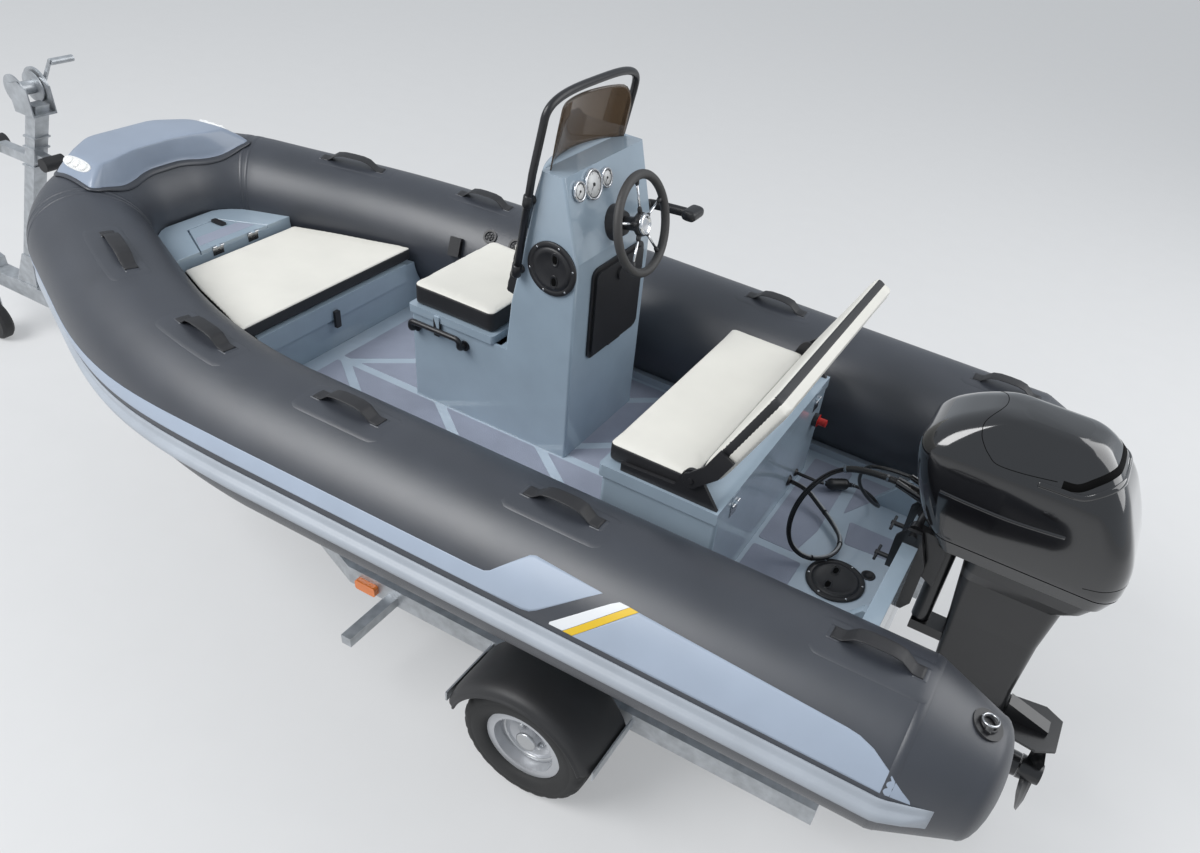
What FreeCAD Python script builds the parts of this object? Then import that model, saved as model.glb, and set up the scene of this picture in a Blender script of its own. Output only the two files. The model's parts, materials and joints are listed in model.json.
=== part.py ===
import FreeCAD, Part
import math
import os

# Rigid inflatable boat with console, outboard engine and road trailer.
# Lengths are in millimetres. The boat is drawn with x forward from the aft foot of
# the console, y to port and z up from the cockpit floor. put() then moves each piece
# so that the ground is z = 0 and the middle of the whole length is x = 0.

V = FreeCAD.Vector
os.makedirs("parts", exist_ok=True)

# Place of the boat over the ground and the two ends of the outfit
FLOOR_HEIGHT = 785.0
HITCH_END_X = 3650.0
SEAT_GAP = 0.3
RUN_GAP = 8.0

# Buoyancy tube
TUBE_R = 235.0
TUBE_BOW_R = 203.0
TUBE_Y = 740.0
TUBE_Z = 190.0
TUBE_BOW_RISE = 130.0
TUBE_END_X = -1430.0
TUBE_BEND_X = 600.0
TUBE_SWEEP_R = 2300.0
TUBE_SWEEP_DEG = 23.6
TUBE_CORNER_R = 390.0
TUBE_NOSE_X = 2060.0
CONE_LENGTH = 190.0
CONE_END_R = 165.0
CAP_LENGTH = 60.0

# Rub strake on the outside of the tube: angle above the horizontal and height off the skin.
# Its section starts STRAKE_BED under the skin, and the bed for the tube is then cut out of it
STRAKE_BED = 3.0
STRAKE_SECTION = [
    (11.5, -STRAKE_BED), (11.0, 5.0), (6.0, 5.0), (4.0, 24.0), (-2.0, 24.0), (-5.0, 5.0), (-9.5, 5.0),
    (-10.0, -STRAKE_BED),
]
STRAKE_FALL_DEG = 26.0
STRAKE_FALL_X = 1550.0
STRAKE_END_X = -1560.0

# Hull
TRANSOM_X = -1205.0
TRANSOM_THICK = 50.0
TRANSOM_TOP_Z = 258.0
KEEL_Z = -320.0
CHINE_Y = 560.0
CHINE_Z = -130.0
SHEER_Y = 640.0
SHEER_Z = 30.0
FLOOR_THICK = 20.0
FLOOR_HALF_Y = 540.0

# Bow platform
LOCKER_AFT_X = 1104.0
LOCKER_TOP_Z = 190.0
LID_THICK = 14.0
LID_SKIRT = 62.0
BOW_CUSHION_THICK = 58.0
BOW_CUSHION_AFT_Y = 448.0
BOW_CUSHION_FWD_Y = 284.0
STEP_X = 1602.0
BOW_CUSHION_FWD_X = STEP_X - 22.0
FOREDECK_Z = 285.0
FOREDECK_END_X = 1850.0
HATCH_FWD_X = 1778.0
HATCH_AFT_HALF_Y = 165.0
HATCH_FWD_HALF_Y = 72.0
WALL = 12.0

# Console
CONSOLE_PORT_Y = 80.0
CONSOLE_STBD_Y = -393.0
CONSOLE_FOOT_X = 661.0
KINK_Z = 743.0
DASH_TOP_X = 64.0
DASH_TOP_Z = 1000.0
DASH_FWD_X = 145.0
CONSOLE_FRONT_X = 262.0
SEAT_BOX_Z = 348.0
SEAT_LID_THICK = 30.0
SEAT_CUSHION_THICK = 80.0
GLOVE_Y = -178.0
GLOVE_WIDTH = 330.0
GLOVE_Z = 530.0
GLOVE_HEIGHT = 330.0
GLOVE_DEPTH = 120.0

# Steering wheel and throttle
WHEEL_R = 165.0
WHEEL_RIM_R = 14.0
WHEEL_Y = -157.0
WHEEL_Z = 830.0
WHEEL_REACH = 105.0

# Helm seat
HELM_AFT_X = -738.0
HELM_FWD_X = -357.0
HELM_PORT_Y = 465.0
HELM_STBD_Y = -428.0
HELM_BOX_Z = 350.0
HELM_LID_THICK = 40.0
HELM_CUSHION_THICK = 68.0
BACKREST_LENGTH = 345.0
BACKREST_THICK = 60.0
BACKREST_LEAN_DEG = 27.0
BACKREST_PIVOT_X = -640.0
BACKREST_PIVOT_Z = 468.0

# Outboard engine
TILT_X = TRANSOM_X - 23.0
TILT_Z = 292.0
STEER_X = TRANSOM_X - 130.0
COWL_FORWARD = 187.0
COWL_BEHIND = 471.0
COWL_LOW_Z = 322.0
COWL_JOINT_Z = 370.0
COWL_TOP_Z = 779.0
COWL_HALF_Y = 166.0
LEG_BEHIND = 355.0
PLATE_Z = -305.0
PLATE_BEHIND = 555.0
SHAFT_Z = -512.0
GEARCASE_R = 47.0
PROP_R = 142.0
PROP_HUB_R = 44.0
PROP_BEHIND = 570.0
SKEG_Z = -706.0

# Trailer
AXLE_X = -364.0
TYRE_R = 234.5
TYRE_WIDTH = 190.0
RIM_R = 128.0
TRACK_HALF = 757.0
RAIL_TOP_Z = -425.0
RAIL_HEIGHT = 80.0
RAIL_WIDTH = 45.0
RAIL_Y = 592.0
RAIL_AFT_X = -1290.0
RAIL_BEND_X = 545.0
RAIL_MEET_X = 1950.0
BEAM_HALF = 40.0
GUARD_R = 292.0
GUARD_THICK = 6.0
POST_FOOT_X = 3080.0
POST_TOP_X = 2625.0
POST_TOP_Z = 530.0
JOCKEY_X = HITCH_END_X - 265.0
JOCKEY_Y = 95.0
JOCKEY_R = 100.0
JOCKEY_TRAIL = 45.0
COUPLING_Z = -355.0
BALL_R = 25.3

# Middle of the whole length, from the propeller to the front of the coupling
PROP_END_X = STEER_X - PROP_BEHIND
MID_X = (HITCH_END_X + PROP_END_X) / 2.0


def put(name, *shapes):
    """Move the finished solids to the ground frame and write them as one file."""
    solids = []
    for shape in shapes:
        solids.extend(shape.Solids)
    whole = solids[0] if len(solids) == 1 else Part.makeCompound(solids)
    moved = whole.copy()
    moved.translate(V(-MID_X, 0, FLOOR_HEIGHT))
    moved.exportStep("parts/" + name + ".step")


def box(x0, x1, y0, y1, z0, z1):
    """Block between two corners."""
    return Part.makeBox(x1 - x0, y1 - y0, z1 - z0, V(x0, y0, z0))


def cyl(start, direction, radius, length):
    """Round bar from a start point along a direction."""
    return Part.makeCylinder(radius, length, V(*start), V(*direction))


def cone(start, direction, radius0, radius1, length):
    """Taper from a start point along a direction."""
    return Part.makeCone(radius0, radius1, length, V(*start), V(*direction))


def mirror(shape):
    """The same shape on the other side of the boat."""
    return shape.mirror(V(0, 0, 0), V(0, 1, 0))


def both(shape):
    """A shape and its mirror image."""
    return [shape, mirror(shape)]


def plate_xz(points, y0, y1):
    """Side outline (x, z) pushed from y0 to y1."""
    wire = Part.makePolygon([V(x, y0, z) for x, z in points + points[:1]])
    return Part.Face(wire).extrude(V(0, y1 - y0, 0))


def plate_xy(points, z0, z1):
    """Plan outline (x, y) pushed from z0 to z1."""
    wire = Part.makePolygon([V(x, y, z0) for x, y in points + points[:1]])
    return Part.Face(wire).extrude(V(0, 0, z1 - z0))


def plate_yz(points, x0, x1):
    """Cross outline (y, z) pushed from x0 to x1."""
    wire = Part.makePolygon([V(x0, y, z) for y, z in points + points[:1]])
    return Part.Face(wire).extrude(V(x1 - x0, 0, 0))


def round_edges(shape, radius, pick):
    """Fillet the edges whose middle point passes the test."""
    edges = []
    for edge in shape.Edges:
        middle = edge.valueAt((edge.FirstParameter + edge.LastParameter) / 2.0)
        if pick(middle, edge):
            edges.append(edge)
    return shape.makeFillet(radius, edges)


def along(axis):
    """Test for straight edges that run along one axis."""
    def test(middle, edge):
        if len(edge.Vertexes) < 2:
            return False
        step = edge.Vertexes[1].Point - edge.Vertexes[0].Point
        parts = [abs(step.x), abs(step.y), abs(step.z)]
        return parts[axis] > 0.99 * step.Length
    return test


def soft_block(x0, x1, y0, y1, z0, z1, radius, axis=2):
    """Block with its edges along one axis rounded."""
    return round_edges(box(x0, x1, y0, y1, z0, z1), radius, along(axis))


def bent_wire(points, bend):
    """Path of straight runs joined by tangent arcs of one radius."""
    points = [V(*p) for p in points]
    edges = []
    start = points[0]
    for i in range(1, len(points) - 1):
        into = (points[i] - points[i - 1]).normalize()
        out = (points[i + 1] - points[i]).normalize()
        turn = math.acos(max(-1.0, min(1.0, into.dot(out))))
        cut = bend * math.tan(turn / 2.0)
        a = points[i] - into * cut
        b = points[i] + out * cut
        inward = (out - into).normalize()
        middle = points[i] + inward * (bend / math.cos(turn / 2.0) - bend)
        if (a - start).Length > 0.01:
            edges.append(Part.LineSegment(start, a).toShape())
        edges.append(Part.Arc(a, middle, b).toShape())
        start = b
    edges.append(Part.LineSegment(start, points[-1]).toShape())
    return Part.Wire(edges)


def pipe(points, radius, bend):
    """Round bar along a bent path."""
    wire = bent_wire(points, bend)
    edge = wire.Edges[0]
    direction = edge.tangentAt(edge.FirstParameter)
    circle = Part.Wire(Part.Circle(V(*points[0]), direction, radius).toShape())
    return wire.makePipeShell([circle], True, False)


def rounded_outline(x0, x1, half_y, radius, z):
    """Wire of a rounded rectangle, symmetric about the middle plane."""
    r = radius
    k = r * (1.0 - math.sqrt(0.5))
    corners = [
        (V(x1, half_y - r, z), V(x1 - k, half_y - k, z), V(x1 - r, half_y, z)),
        (V(x0 + r, half_y, z), V(x0 + k, half_y - k, z), V(x0, half_y - r, z)),
        (V(x0, r - half_y, z), V(x0 + k, k - half_y, z), V(x0 + r, -half_y, z)),
        (V(x1 - r, -half_y, z), V(x1 - k, k - half_y, z), V(x1, r - half_y, z)),
    ]
    edges = []
    for i in range(4):
        edges.append(Part.Arc(*corners[i]).toShape())
        edges.append(Part.LineSegment(corners[i][2], corners[(i + 1) % 4][0]).toShape())
    return Part.Wire(edges)


# Line of the tube: straight, a wide sweep, a short run, then a tight corner to the nose
def tube_path():
    """Stations from the port stern to the nose: (x, y, heading)."""
    sweep = math.radians(TUBE_SWEEP_DEG)
    stations = []
    for share in (0.0, 0.33, 0.66, 1.0):
        a = sweep * share
        x = TUBE_BEND_X + TUBE_SWEEP_R * math.sin(a)
        y = TUBE_Y - TUBE_SWEEP_R * (1.0 - math.cos(a))
        stations.append((x, y, a))
    x, y, a = stations[-1]
    run = (TUBE_NOSE_X - x - TUBE_CORNER_R * (1.0 - math.sin(sweep))) / math.cos(sweep)
    x += run * math.cos(sweep)
    y -= run * math.sin(sweep)
    stations.append((x, y, sweep))
    for share in (0.2, 0.4, 0.6, 0.8, 1.0):
        a = sweep + (math.pi / 2.0 - sweep) * share
        px = x + TUBE_CORNER_R * (math.sin(a) - math.sin(sweep))
        py = y - TUBE_CORNER_R * (math.cos(sweep) - math.cos(a))
        stations.append((px, py, a))
    return stations


def tube_height(x):
    """Height of the tube's middle line, rising towards the bow."""
    share = max(0.0, (x - TUBE_BEND_X) / (TUBE_NOSE_X - TUBE_BEND_X))
    return TUBE_Z + TUBE_BOW_RISE * share ** 1.6


def tube_radius(x):
    """Radius of the tube, tapering towards the bow."""
    share = max(0.0, (x - TUBE_BEND_X) / (TUBE_NOSE_X - TUBE_BEND_X))
    return TUBE_R - (TUBE_R - TUBE_BOW_R) * share


def tube_frames():
    """Centre, outward direction and radius at each station from the port bend round the nose."""
    port = []
    for x, y, a in tube_path():
        port.append((V(x, y, tube_height(x)), V(math.sin(a), math.cos(a), 0), tube_radius(x)))
    starboard = []
    for centre, outward, radius in reversed(port):
        starboard.append((V(centre.x, -centre.y, centre.z), V(outward.x, -outward.y, 0), radius))
    return port + starboard


def stern_frames(side, end_x):
    """The same from the bend aft: the seam, the taper and, up to end_x, its rounded cap."""
    cone_x = TUBE_END_X - CONE_LENGTH
    rows = [(TUBE_END_X, TUBE_R), (cone_x, CONE_END_R)]
    for degrees in (30.0, 60.0, 85.0):
        a = math.radians(degrees)
        rows.append((cone_x - CAP_LENGTH * math.sin(a), CONE_END_R * math.cos(a)))
    if end_x > cone_x:
        share = (TUBE_END_X - end_x) / CONE_LENGTH
        rows = [rows[0], (end_x, TUBE_R - (TUBE_R - CONE_END_R) * share)]
    frames = []
    for x, radius in rows:
        frames.append((V(x, side * TUBE_Y, TUBE_Z), V(0, side, 0), radius))
    return frames


UP = V(0, 0, 1)


def ring_point(frame, radius, degrees):
    """Point round the tube: 0 is outboard, 90 is the top."""
    centre, outward, _ = frame
    a = math.radians(degrees)
    return centre + outward * (radius * math.cos(a)) + UP * (radius * math.sin(a))


def ring_wire(frame, grow):
    """Full circle round the tube with its seam at the top."""
    r = frame[2] + grow
    top = ring_point(frame, r, 90)
    low = ring_point(frame, r, 270)
    outer = Part.Arc(top, ring_point(frame, r, 0), low).toShape()
    inner = Part.Arc(low, ring_point(frame, r, 180), top).toShape()
    return Part.Wire([outer, inner])


def strake_turn(x):
    """Angle by which the strake drops round the tube towards the bow."""
    share = (x - TUBE_BEND_X) / (STRAKE_FALL_X - TUBE_BEND_X)
    share = max(0.0, min(1.0, share))
    return STRAKE_FALL_DEG * share ** 2 * (3.0 - 2.0 * share)


def strake_wire(frame):
    """Section of the strake: a flat strip with a raised ridge along it."""
    turn = strake_turn(frame[0].x)
    points = []
    for degrees, proud in STRAKE_SECTION:
        points.append(ring_point(frame, frame[2] + proud, degrees - turn))
    middle_deg = (STRAKE_SECTION[0][0] + STRAKE_SECTION[-1][0]) / 2.0 - turn
    middle = ring_point(frame, frame[2] + STRAKE_SECTION[0][1], middle_deg)
    edges = [Part.Arc(points[-1], middle, points[0]).toShape()]
    for start, end in zip(points[:-1], points[1:]):
        edges.append(Part.LineSegment(start, end).toShape())
    return Part.Wire(edges)


def follow_tube(wire_at, end_x):
    """Solid that follows the tube from one stern round the bow to the other."""
    frames = list(reversed(stern_frames(1, end_x))) + tube_frames() + stern_frames(-1, end_x)
    return Part.makeLoft([wire_at(frame) for frame in frames], True, True)


def tube_solid(grow):
    """The whole tube, larger all round by grow."""
    return follow_tube(lambda frame: ring_wire(frame, grow), TUBE_END_X - CONE_LENGTH - CAP_LENGTH)


def tube_panels():
    """The collar as it is glued up: a stern length with its cone on each side, then a panel per station."""
    stern = list(reversed(stern_frames(1, TUBE_END_X - CONE_LENGTH - CAP_LENGTH)))
    port = tube_frames()[:len(tube_path())]
    lengths = [stern + port[:1]] + [[aft, fwd] for aft, fwd in zip(port[:-1], port[1:])]
    panels = []
    for frames in lengths:
        panels.extend(both(Part.makeLoft([ring_wire(frame, 0.0) for frame in frames], True, True)))
    return panels


TROUGH = tube_solid(SEAT_GAP)
put("tube_collar", *tube_panels())

# Rub strake all the way round, bedded on the tube
strake = follow_tube(strake_wire, STRAKE_END_X).cut(TROUGH)
put("rub_strake", sorted(strake.Solids, key=lambda s: s.Volume)[-1])

# Hull sections: x, keel height, chine half width and height, sheer half width and height
HULL_SECTIONS = [
    (TRANSOM_X - TRANSOM_THICK, KEEL_Z, CHINE_Y, CHINE_Z, SHEER_Y, SHEER_Z),
    (TUBE_BEND_X, KEEL_Z, CHINE_Y, CHINE_Z, SHEER_Y, SHEER_Z),
    (1150.0, KEEL_Z + 30.0, CHINE_Y - 60.0, CHINE_Z + 40.0, SHEER_Y - 50.0, SHEER_Z + 40.0),
    (1600.0, KEEL_Z + 120.0, CHINE_Y - 190.0, CHINE_Z + 130.0, SHEER_Y - 190.0, SHEER_Z + 100.0),
    (1900.0, KEEL_Z + 250.0, CHINE_Y - 330.0, CHINE_Z + 240.0, SHEER_Y - 340.0, SHEER_Z + 170.0),
    (2090.0, KEEL_Z + 410.0, CHINE_Y - 500.0, CHINE_Z + 310.0, SHEER_Y - 550.0, SHEER_Z + 205.0),
]


def hull_wire(section):
    """Vee section from sheer to sheer."""
    x, keel, chine_y, chine_z, sheer_y, sheer_z = section
    points = [
        V(x, sheer_y, sheer_z), V(x, chine_y, chine_z), V(x, 0, keel),
        V(x, -chine_y, chine_z), V(x, -sheer_y, sheer_z), V(x, sheer_y, sheer_z),
    ]
    return Part.makePolygon(points)


# Plan of the cockpit inside the tube, port side
DECK_PLAN = [
    (TRANSOM_X, FLOOR_HALF_Y), (TUBE_BEND_X, FLOOR_HALF_Y), (1150.0, 500.0),
    (1600.0, 370.0), (1800.0, 250.0), (FOREDECK_END_X, 120.0),
]
deck_outline = DECK_PLAN + [(x, -y) for x, y in reversed(DECK_PLAN)]

hull = Part.makeLoft([hull_wire(s) for s in HULL_SECTIONS], True, True)
hull = hull.cut(TROUGH)
hull = hull.cut(plate_xy(deck_outline, -FLOOR_THICK, FOREDECK_Z))
hull_solids = sorted(hull.Solids, key=lambda s: s.Volume)
HULL_SPAN = 1000.0

# The bottom moulding, and above the floor's underside the gunwale lip in lengths between the sections
hull_parts = [hull_solids[-1].common(box(TRANSOM_X - HULL_SPAN, TUBE_NOSE_X + HULL_SPAN, -HULL_SPAN, HULL_SPAN,
                                         KEEL_Z - HULL_SPAN, -FLOOR_THICK))]
for section, ahead in zip(HULL_SECTIONS[:-1], HULL_SECTIONS[1:]):
    for span in both(box(section[0], ahead[0], 0.0, HULL_SPAN, -FLOOR_THICK, FOREDECK_Z)):
        hull_parts.append(hull_solids[-1].common(span))
put("hull", *hull_parts)

floor = plate_xy(deck_outline, -FLOOR_THICK, 0.0).cut(TROUGH)
put("cockpit_floor", sorted(floor.Solids, key=lambda s: s.Volume)[-1])

# Transom board between the tubes with two slanted knees
transom_points = [
    (FLOOR_HALF_Y, 0.0), (FLOOR_HALF_Y, TRANSOM_TOP_Z - 30.0), (FLOOR_HALF_Y - 30.0, TRANSOM_TOP_Z),
    (30.0 - FLOOR_HALF_Y, TRANSOM_TOP_Z), (-FLOOR_HALF_Y, TRANSOM_TOP_Z - 30.0), (-FLOOR_HALF_Y, 0.0),
]
board = plate_yz(transom_points, TRANSOM_X - TRANSOM_THICK, TRANSOM_X)
board = board.fuse(box(TRANSOM_X - TRANSOM_THICK, TRANSOM_X, -FLOOR_HALF_Y, FLOOR_HALF_Y, SHEER_Z, 60.0))
board = board.cut(TROUGH).cut(hull_solids[-1])
knee_points = [(TRANSOM_X, 0.0), (TRANSOM_X + 190.0, 0.0), (TRANSOM_X + 12.0, TRANSOM_TOP_Z - 30.0),
               (TRANSOM_X, TRANSOM_TOP_Z - 30.0)]
knees = both(plate_xz(knee_points, 380.0, 410.0))
transom = board.fuse(knees)
put("transom", sorted(transom.Solids, key=lambda s: s.Volume)[-1])

# Bow locker under the cushion, stepping up to the fore deck
LOCKER_PLAN = [
    (LOCKER_AFT_X, 500.0), (1600.0, 380.0), (1800.0, 262.0), (FOREDECK_END_X, 140.0),
]
locker_outline = LOCKER_PLAN + [(x, -y) for x, y in reversed(LOCKER_PLAN)]
locker = plate_xy(locker_outline, 0.0, FOREDECK_Z)
locker = locker.cut(box(LOCKER_AFT_X, STEP_X, -600.0, 600.0, LOCKER_TOP_Z, FOREDECK_Z))
hollow_plan = [(LOCKER_AFT_X + WALL, 396.0), (STEP_X - WALL, 268.0)]
hollow_outline = hollow_plan + [(x, -y) for x, y in reversed(hollow_plan)]
locker = locker.cut(plate_xy(hollow_outline, WALL, LOCKER_TOP_Z))


def hatch_outline(inset):
    """Plan of the fore hatch, smaller on the three inner sides by inset."""
    port = [(STEP_X, HATCH_AFT_HALF_Y - inset), (HATCH_FWD_X - inset, HATCH_FWD_HALF_Y - inset)]
    return port + [(x, -y) for x, y in reversed(port)]


HATCH_SEAT = 14.0
hatch_low_z = FOREDECK_Z - LID_THICK
anchor_space = plate_xy(hatch_outline(HATCH_SEAT), WALL, FOREDECK_Z)
anchor_space = anchor_space.cut(box(0.0, STEP_X + WALL, -200.0, 200.0, 0.0, FOREDECK_Z))
locker = locker.cut(anchor_space)
locker = locker.cut(plate_xy(hatch_outline(0.0), hatch_low_z, FOREDECK_Z))
locker = locker.cut(TROUGH).cut(hull_solids[-1])
put("bow_locker", sorted(locker.Solids, key=lambda s: s.Volume)[-1])


# Butt hinge with its pin along x: leaves lie on a face at y = HINGE_FACE, one down, one up
HINGE_R = 4.0
HINGE_PIN_R = 2.0
HINGE_FACE = 4.5
HINGE_LEAF = 1.6
HINGE_WIDTH = 50.0
HINGE_OVER = 2.9
PIN_FIT = 0.05


def hinge_leaf(length, gap, spans):
    """Knuckles over the given spans of the pin and the upright plate that joins them."""
    half = HINGE_WIDTH / 2.0
    y1 = HINGE_FACE - gap
    y0 = y1 - HINGE_LEAF
    near = HINGE_R + 1.0
    leaf = box(-half, half, y0, y1, near, length)
    for x0, x1 in spans:
        leaf = leaf.fuse(cyl((x0, 0, 0), (1, 0, 0), HINGE_R, x1 - x0))
        leaf = leaf.fuse(box(x0, x1, y0, y1, 0.0, near))
    return leaf


def hinge(fixed_length, moving_length):
    """Fixed half with the pin and moving half with the bored middle knuckle."""
    half = HINGE_WIDTH / 2.0
    third = HINGE_WIDTH / 6.0
    fixed = hinge_leaf(fixed_length, SEAT_GAP, [(-half, -third), (third, half)])
    fixed = fixed.mirror(V(0, 0, 0), V(0, 0, 1))
    fixed = fixed.fuse(cyl((-half, 0, 0), (1, 0, 0), HINGE_PIN_R, HINGE_WIDTH))
    moving = hinge_leaf(moving_length, 0.0, [(0.5 - third, third - 0.5)])
    moving = moving.cut(cyl((-half, 0, 0), (1, 0, 0), HINGE_PIN_R + PIN_FIT, HINGE_WIDTH))
    return fixed, moving


def flat_hinge(fixed_length, moving_length):
    """The same hinge with its moving leaf lying level, HINGE_OVER above the pin."""
    fixed, _ = hinge(fixed_length, moving_length)
    half = HINGE_WIDTH / 2.0
    third = HINGE_WIDTH / 6.0
    near = HINGE_R + 1.0
    moving = box(-half, half, near, moving_length, HINGE_OVER, HINGE_OVER + HINGE_LEAF)
    middle = cyl((0.5 - third, 0, 0), (1, 0, 0), HINGE_R, 2.0 * third - 1.0)
    link = box(0.5 - third, third - 0.5, 0.0, near, HINGE_OVER - HINGE_LEAF / 2.0, HINGE_OVER + HINGE_LEAF)
    moving = moving.fuse([middle, link])
    moving = moving.cut(cyl((-half, 0, 0), (1, 0, 0), HINGE_PIN_R + PIN_FIT, HINGE_WIDTH))
    return fixed, moving


def place(shape, turn_deg, at):
    """Turn a shape about the upright line and move it to its place."""
    shape.rotate(V(0, 0, 0), V(0, 0, 1), turn_deg)
    shape.translate(V(*at))
    return shape


# Fore hatch: a panel hinged at the step and latched at its forward edge
HATCH_CLEAR = 5.0
HATCH_LATCH_RISE = 9.0
fore_hatch = plate_xy(hatch_outline(HATCH_CLEAR), hatch_low_z + SEAT_GAP, FOREDECK_Z)
FORE_HINGE_Y = 85.0
HATCH_AXIS_Z = FOREDECK_Z - HINGE_OVER
fixed_hinges = []
for y in (FORE_HINGE_Y, -FORE_HINGE_Y):
    at = (STEP_X - HINGE_FACE, y, HATCH_AXIS_Z)
    fixed, moving = flat_hinge(34.0, 38.0)
    fixed_hinges.append(place(fixed, -90.0, at))
    fore_hatch = fore_hatch.fuse(place(moving, -90.0, at))
latch_body = soft_block(HATCH_FWD_X - 66.0, HATCH_FWD_X - 6.0, -62.0, -36.0, FOREDECK_Z,
                        FOREDECK_Z + HATCH_LATCH_RISE, 6.0)
put("fore_hatch", fore_hatch.fuse(latch_body))

# Lid of the bow locker with its skirt and latch over the aft face, and the cushion on it
lid_z = LOCKER_TOP_Z + SEAT_GAP
LID_PLAN = [(LOCKER_AFT_X - WALL - 1.0, BOW_CUSHION_AFT_Y - 60.0), (BOW_CUSHION_FWD_X, BOW_CUSHION_FWD_Y - 40.0)]
lid_outline = LID_PLAN + [(x, -y) for x, y in reversed(LID_PLAN)]
bow_lid = plate_xy(lid_outline, lid_z, lid_z + LID_THICK)
skirt = soft_block(LOCKER_AFT_X - WALL - 1.0, LOCKER_AFT_X - 1.0, 60.0 - BOW_CUSHION_AFT_Y,
                   BOW_CUSHION_AFT_Y - 60.0, lid_z - LID_SKIRT, lid_z + LID_THICK, 10.0, 0)
bow_latch = soft_block(LOCKER_AFT_X - WALL - 13.0, LOCKER_AFT_X - WALL - 1.0, 7.0, 33.0,
                       lid_z - LID_SKIRT - 34.0, lid_z - LID_SKIRT + 36.0, 4.0, 0)
put("bow_lid", bow_lid.fuse([skirt, bow_latch]).removeSplitter())
cushion_z = lid_z + LID_THICK + SEAT_GAP
CUSHION_PLAN = [(LOCKER_AFT_X - 8.0, BOW_CUSHION_AFT_Y), (1300.0, 392.0),
                (BOW_CUSHION_FWD_X, BOW_CUSHION_FWD_Y)]
cushion_outline = CUSHION_PLAN + [(x, -y) for x, y in reversed(CUSHION_PLAN)]
bow_cushion = plate_xy(cushion_outline, cushion_z, cushion_z + BOW_CUSHION_THICK)
bow_cushion = bow_cushion.cut(tube_solid(2.0 * RUN_GAP))
put("bow_cushion", sorted(bow_cushion.Solids, key=lambda s: s.Volume)[-1])

# Moulded step pad over the bow tube, with a lamp in each front corner
PAD_TOP_Z = TUBE_Z + TUBE_BOW_RISE + TUBE_BOW_R + 42.0
PAD_LOW_Z = PAD_TOP_Z - 130.0
PAD_AFT_X = TUBE_NOSE_X - 175.0
PAD_FWD_X = TUBE_NOSE_X + 130.0
PAD_HALF_Y = 400.0
PAD_TOP_INSET = 62.0


def pad_wire(inset, z):
    """Outline of the pad at one height, wider aft than at the nose."""
    aft = PAD_AFT_X + inset * 0.5
    fwd = PAD_FWD_X - inset
    half = PAD_HALF_Y - inset
    points = [
        V(aft, half, z), V(aft + 95.0, half - 10.0, z), V(fwd - 35.0, half - 190.0, z), V(fwd, 0, z),
        V(fwd - 35.0, 190.0 - half, z), V(aft + 95.0, 10.0 - half, z), V(aft, -half, z), V(aft, half, z),
    ]
    return Part.makePolygon(points)


pad = Part.makeLoft([pad_wire(0.0, PAD_LOW_Z), pad_wire(14.0, PAD_TOP_Z - 46.0),
                     pad_wire(PAD_TOP_INSET, PAD_TOP_Z)], True, True)
pad = pad.cut(TROUGH)
put("bow_pad", sorted(pad.Solids, key=lambda s: s.Volume)[-1])

# Straps along the top of the tube: x and half width of each pair
HANDLE_X = [1520.0, 1000.0, 330.0, -408.0, -1300.0]
HANDLE_LENGTH = 210.0
HANDLE_WIDTH = 34.0
HANDLE_RISE = 32.0
HANDLE_THICK = 5.0


def plan_at(x):
    """Plan place and heading of the tube's middle line at one x."""
    if x <= TUBE_BEND_X:
        return TUBE_Y, 0.0
    a = math.asin((x - TUBE_BEND_X) / TUBE_SWEEP_R)
    return TUBE_Y - TUBE_SWEEP_R * (1.0 - math.cos(a)), a


def strap(x):
    """Arched strap with two flat feet on the tube."""
    y, heading = plan_at(x)
    half = HANDLE_LENGTH / 2.0
    foot = 34.0
    t = HANDLE_THICK
    outer = [(-half, t), (foot - half, t), (foot + 20.0 - half, HANDLE_RISE), (half - foot - 20.0, HANDLE_RISE),
             (half - foot, t), (half, t)]
    inner = [(half, 0.0), (half - foot - t, 0.0), (half - foot - 20.0 - t, HANDLE_RISE - t),
             (foot + 20.0 + t - half, HANDLE_RISE - t), (foot + t - half, 0.0), (-half, 0.0)]
    shape = plate_xz(outer + inner, -HANDLE_WIDTH / 2.0, HANDLE_WIDTH / 2.0)
    slope = math.atan2(tube_height(x + 50.0) - tube_height(x - 50.0), 100.0)
    fall = math.atan2(tube_radius(x - 50.0) - tube_radius(x + 50.0), 100.0)
    shape.rotate(V(0, 0, 0), V(0, 1, 0), -math.degrees(slope - fall))
    shape.rotate(V(0, 0, 0), V(0, 0, 1), -math.degrees(heading))
    shape.translate(V(x, y, tube_height(x) + tube_radius(x) + SEAT_GAP))
    return shape


straps = []
for x in HANDLE_X:
    straps.extend(both(strap(x).cut(TROUGH)))
put("handle_straps", *straps)


def on_tube(shape, x, side, degrees):
    """Stand a shape made along z on the tube's skin; degrees as in ring_point."""
    y, heading = plan_at(x)
    radius = tube_radius(x) + SEAT_GAP
    shape.rotate(V(0, 0, 0), V(1, 0, 0), degrees - 90.0)
    a = math.radians(degrees)
    shape.translate(V(0, radius * math.cos(a), radius * math.sin(a)))
    shape.rotate(V(0, 0, 0), V(0, 0, 1), -math.degrees(heading))
    shape.translate(V(x, y, tube_height(x)))
    return shape if side > 0 else mirror(shape)


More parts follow.
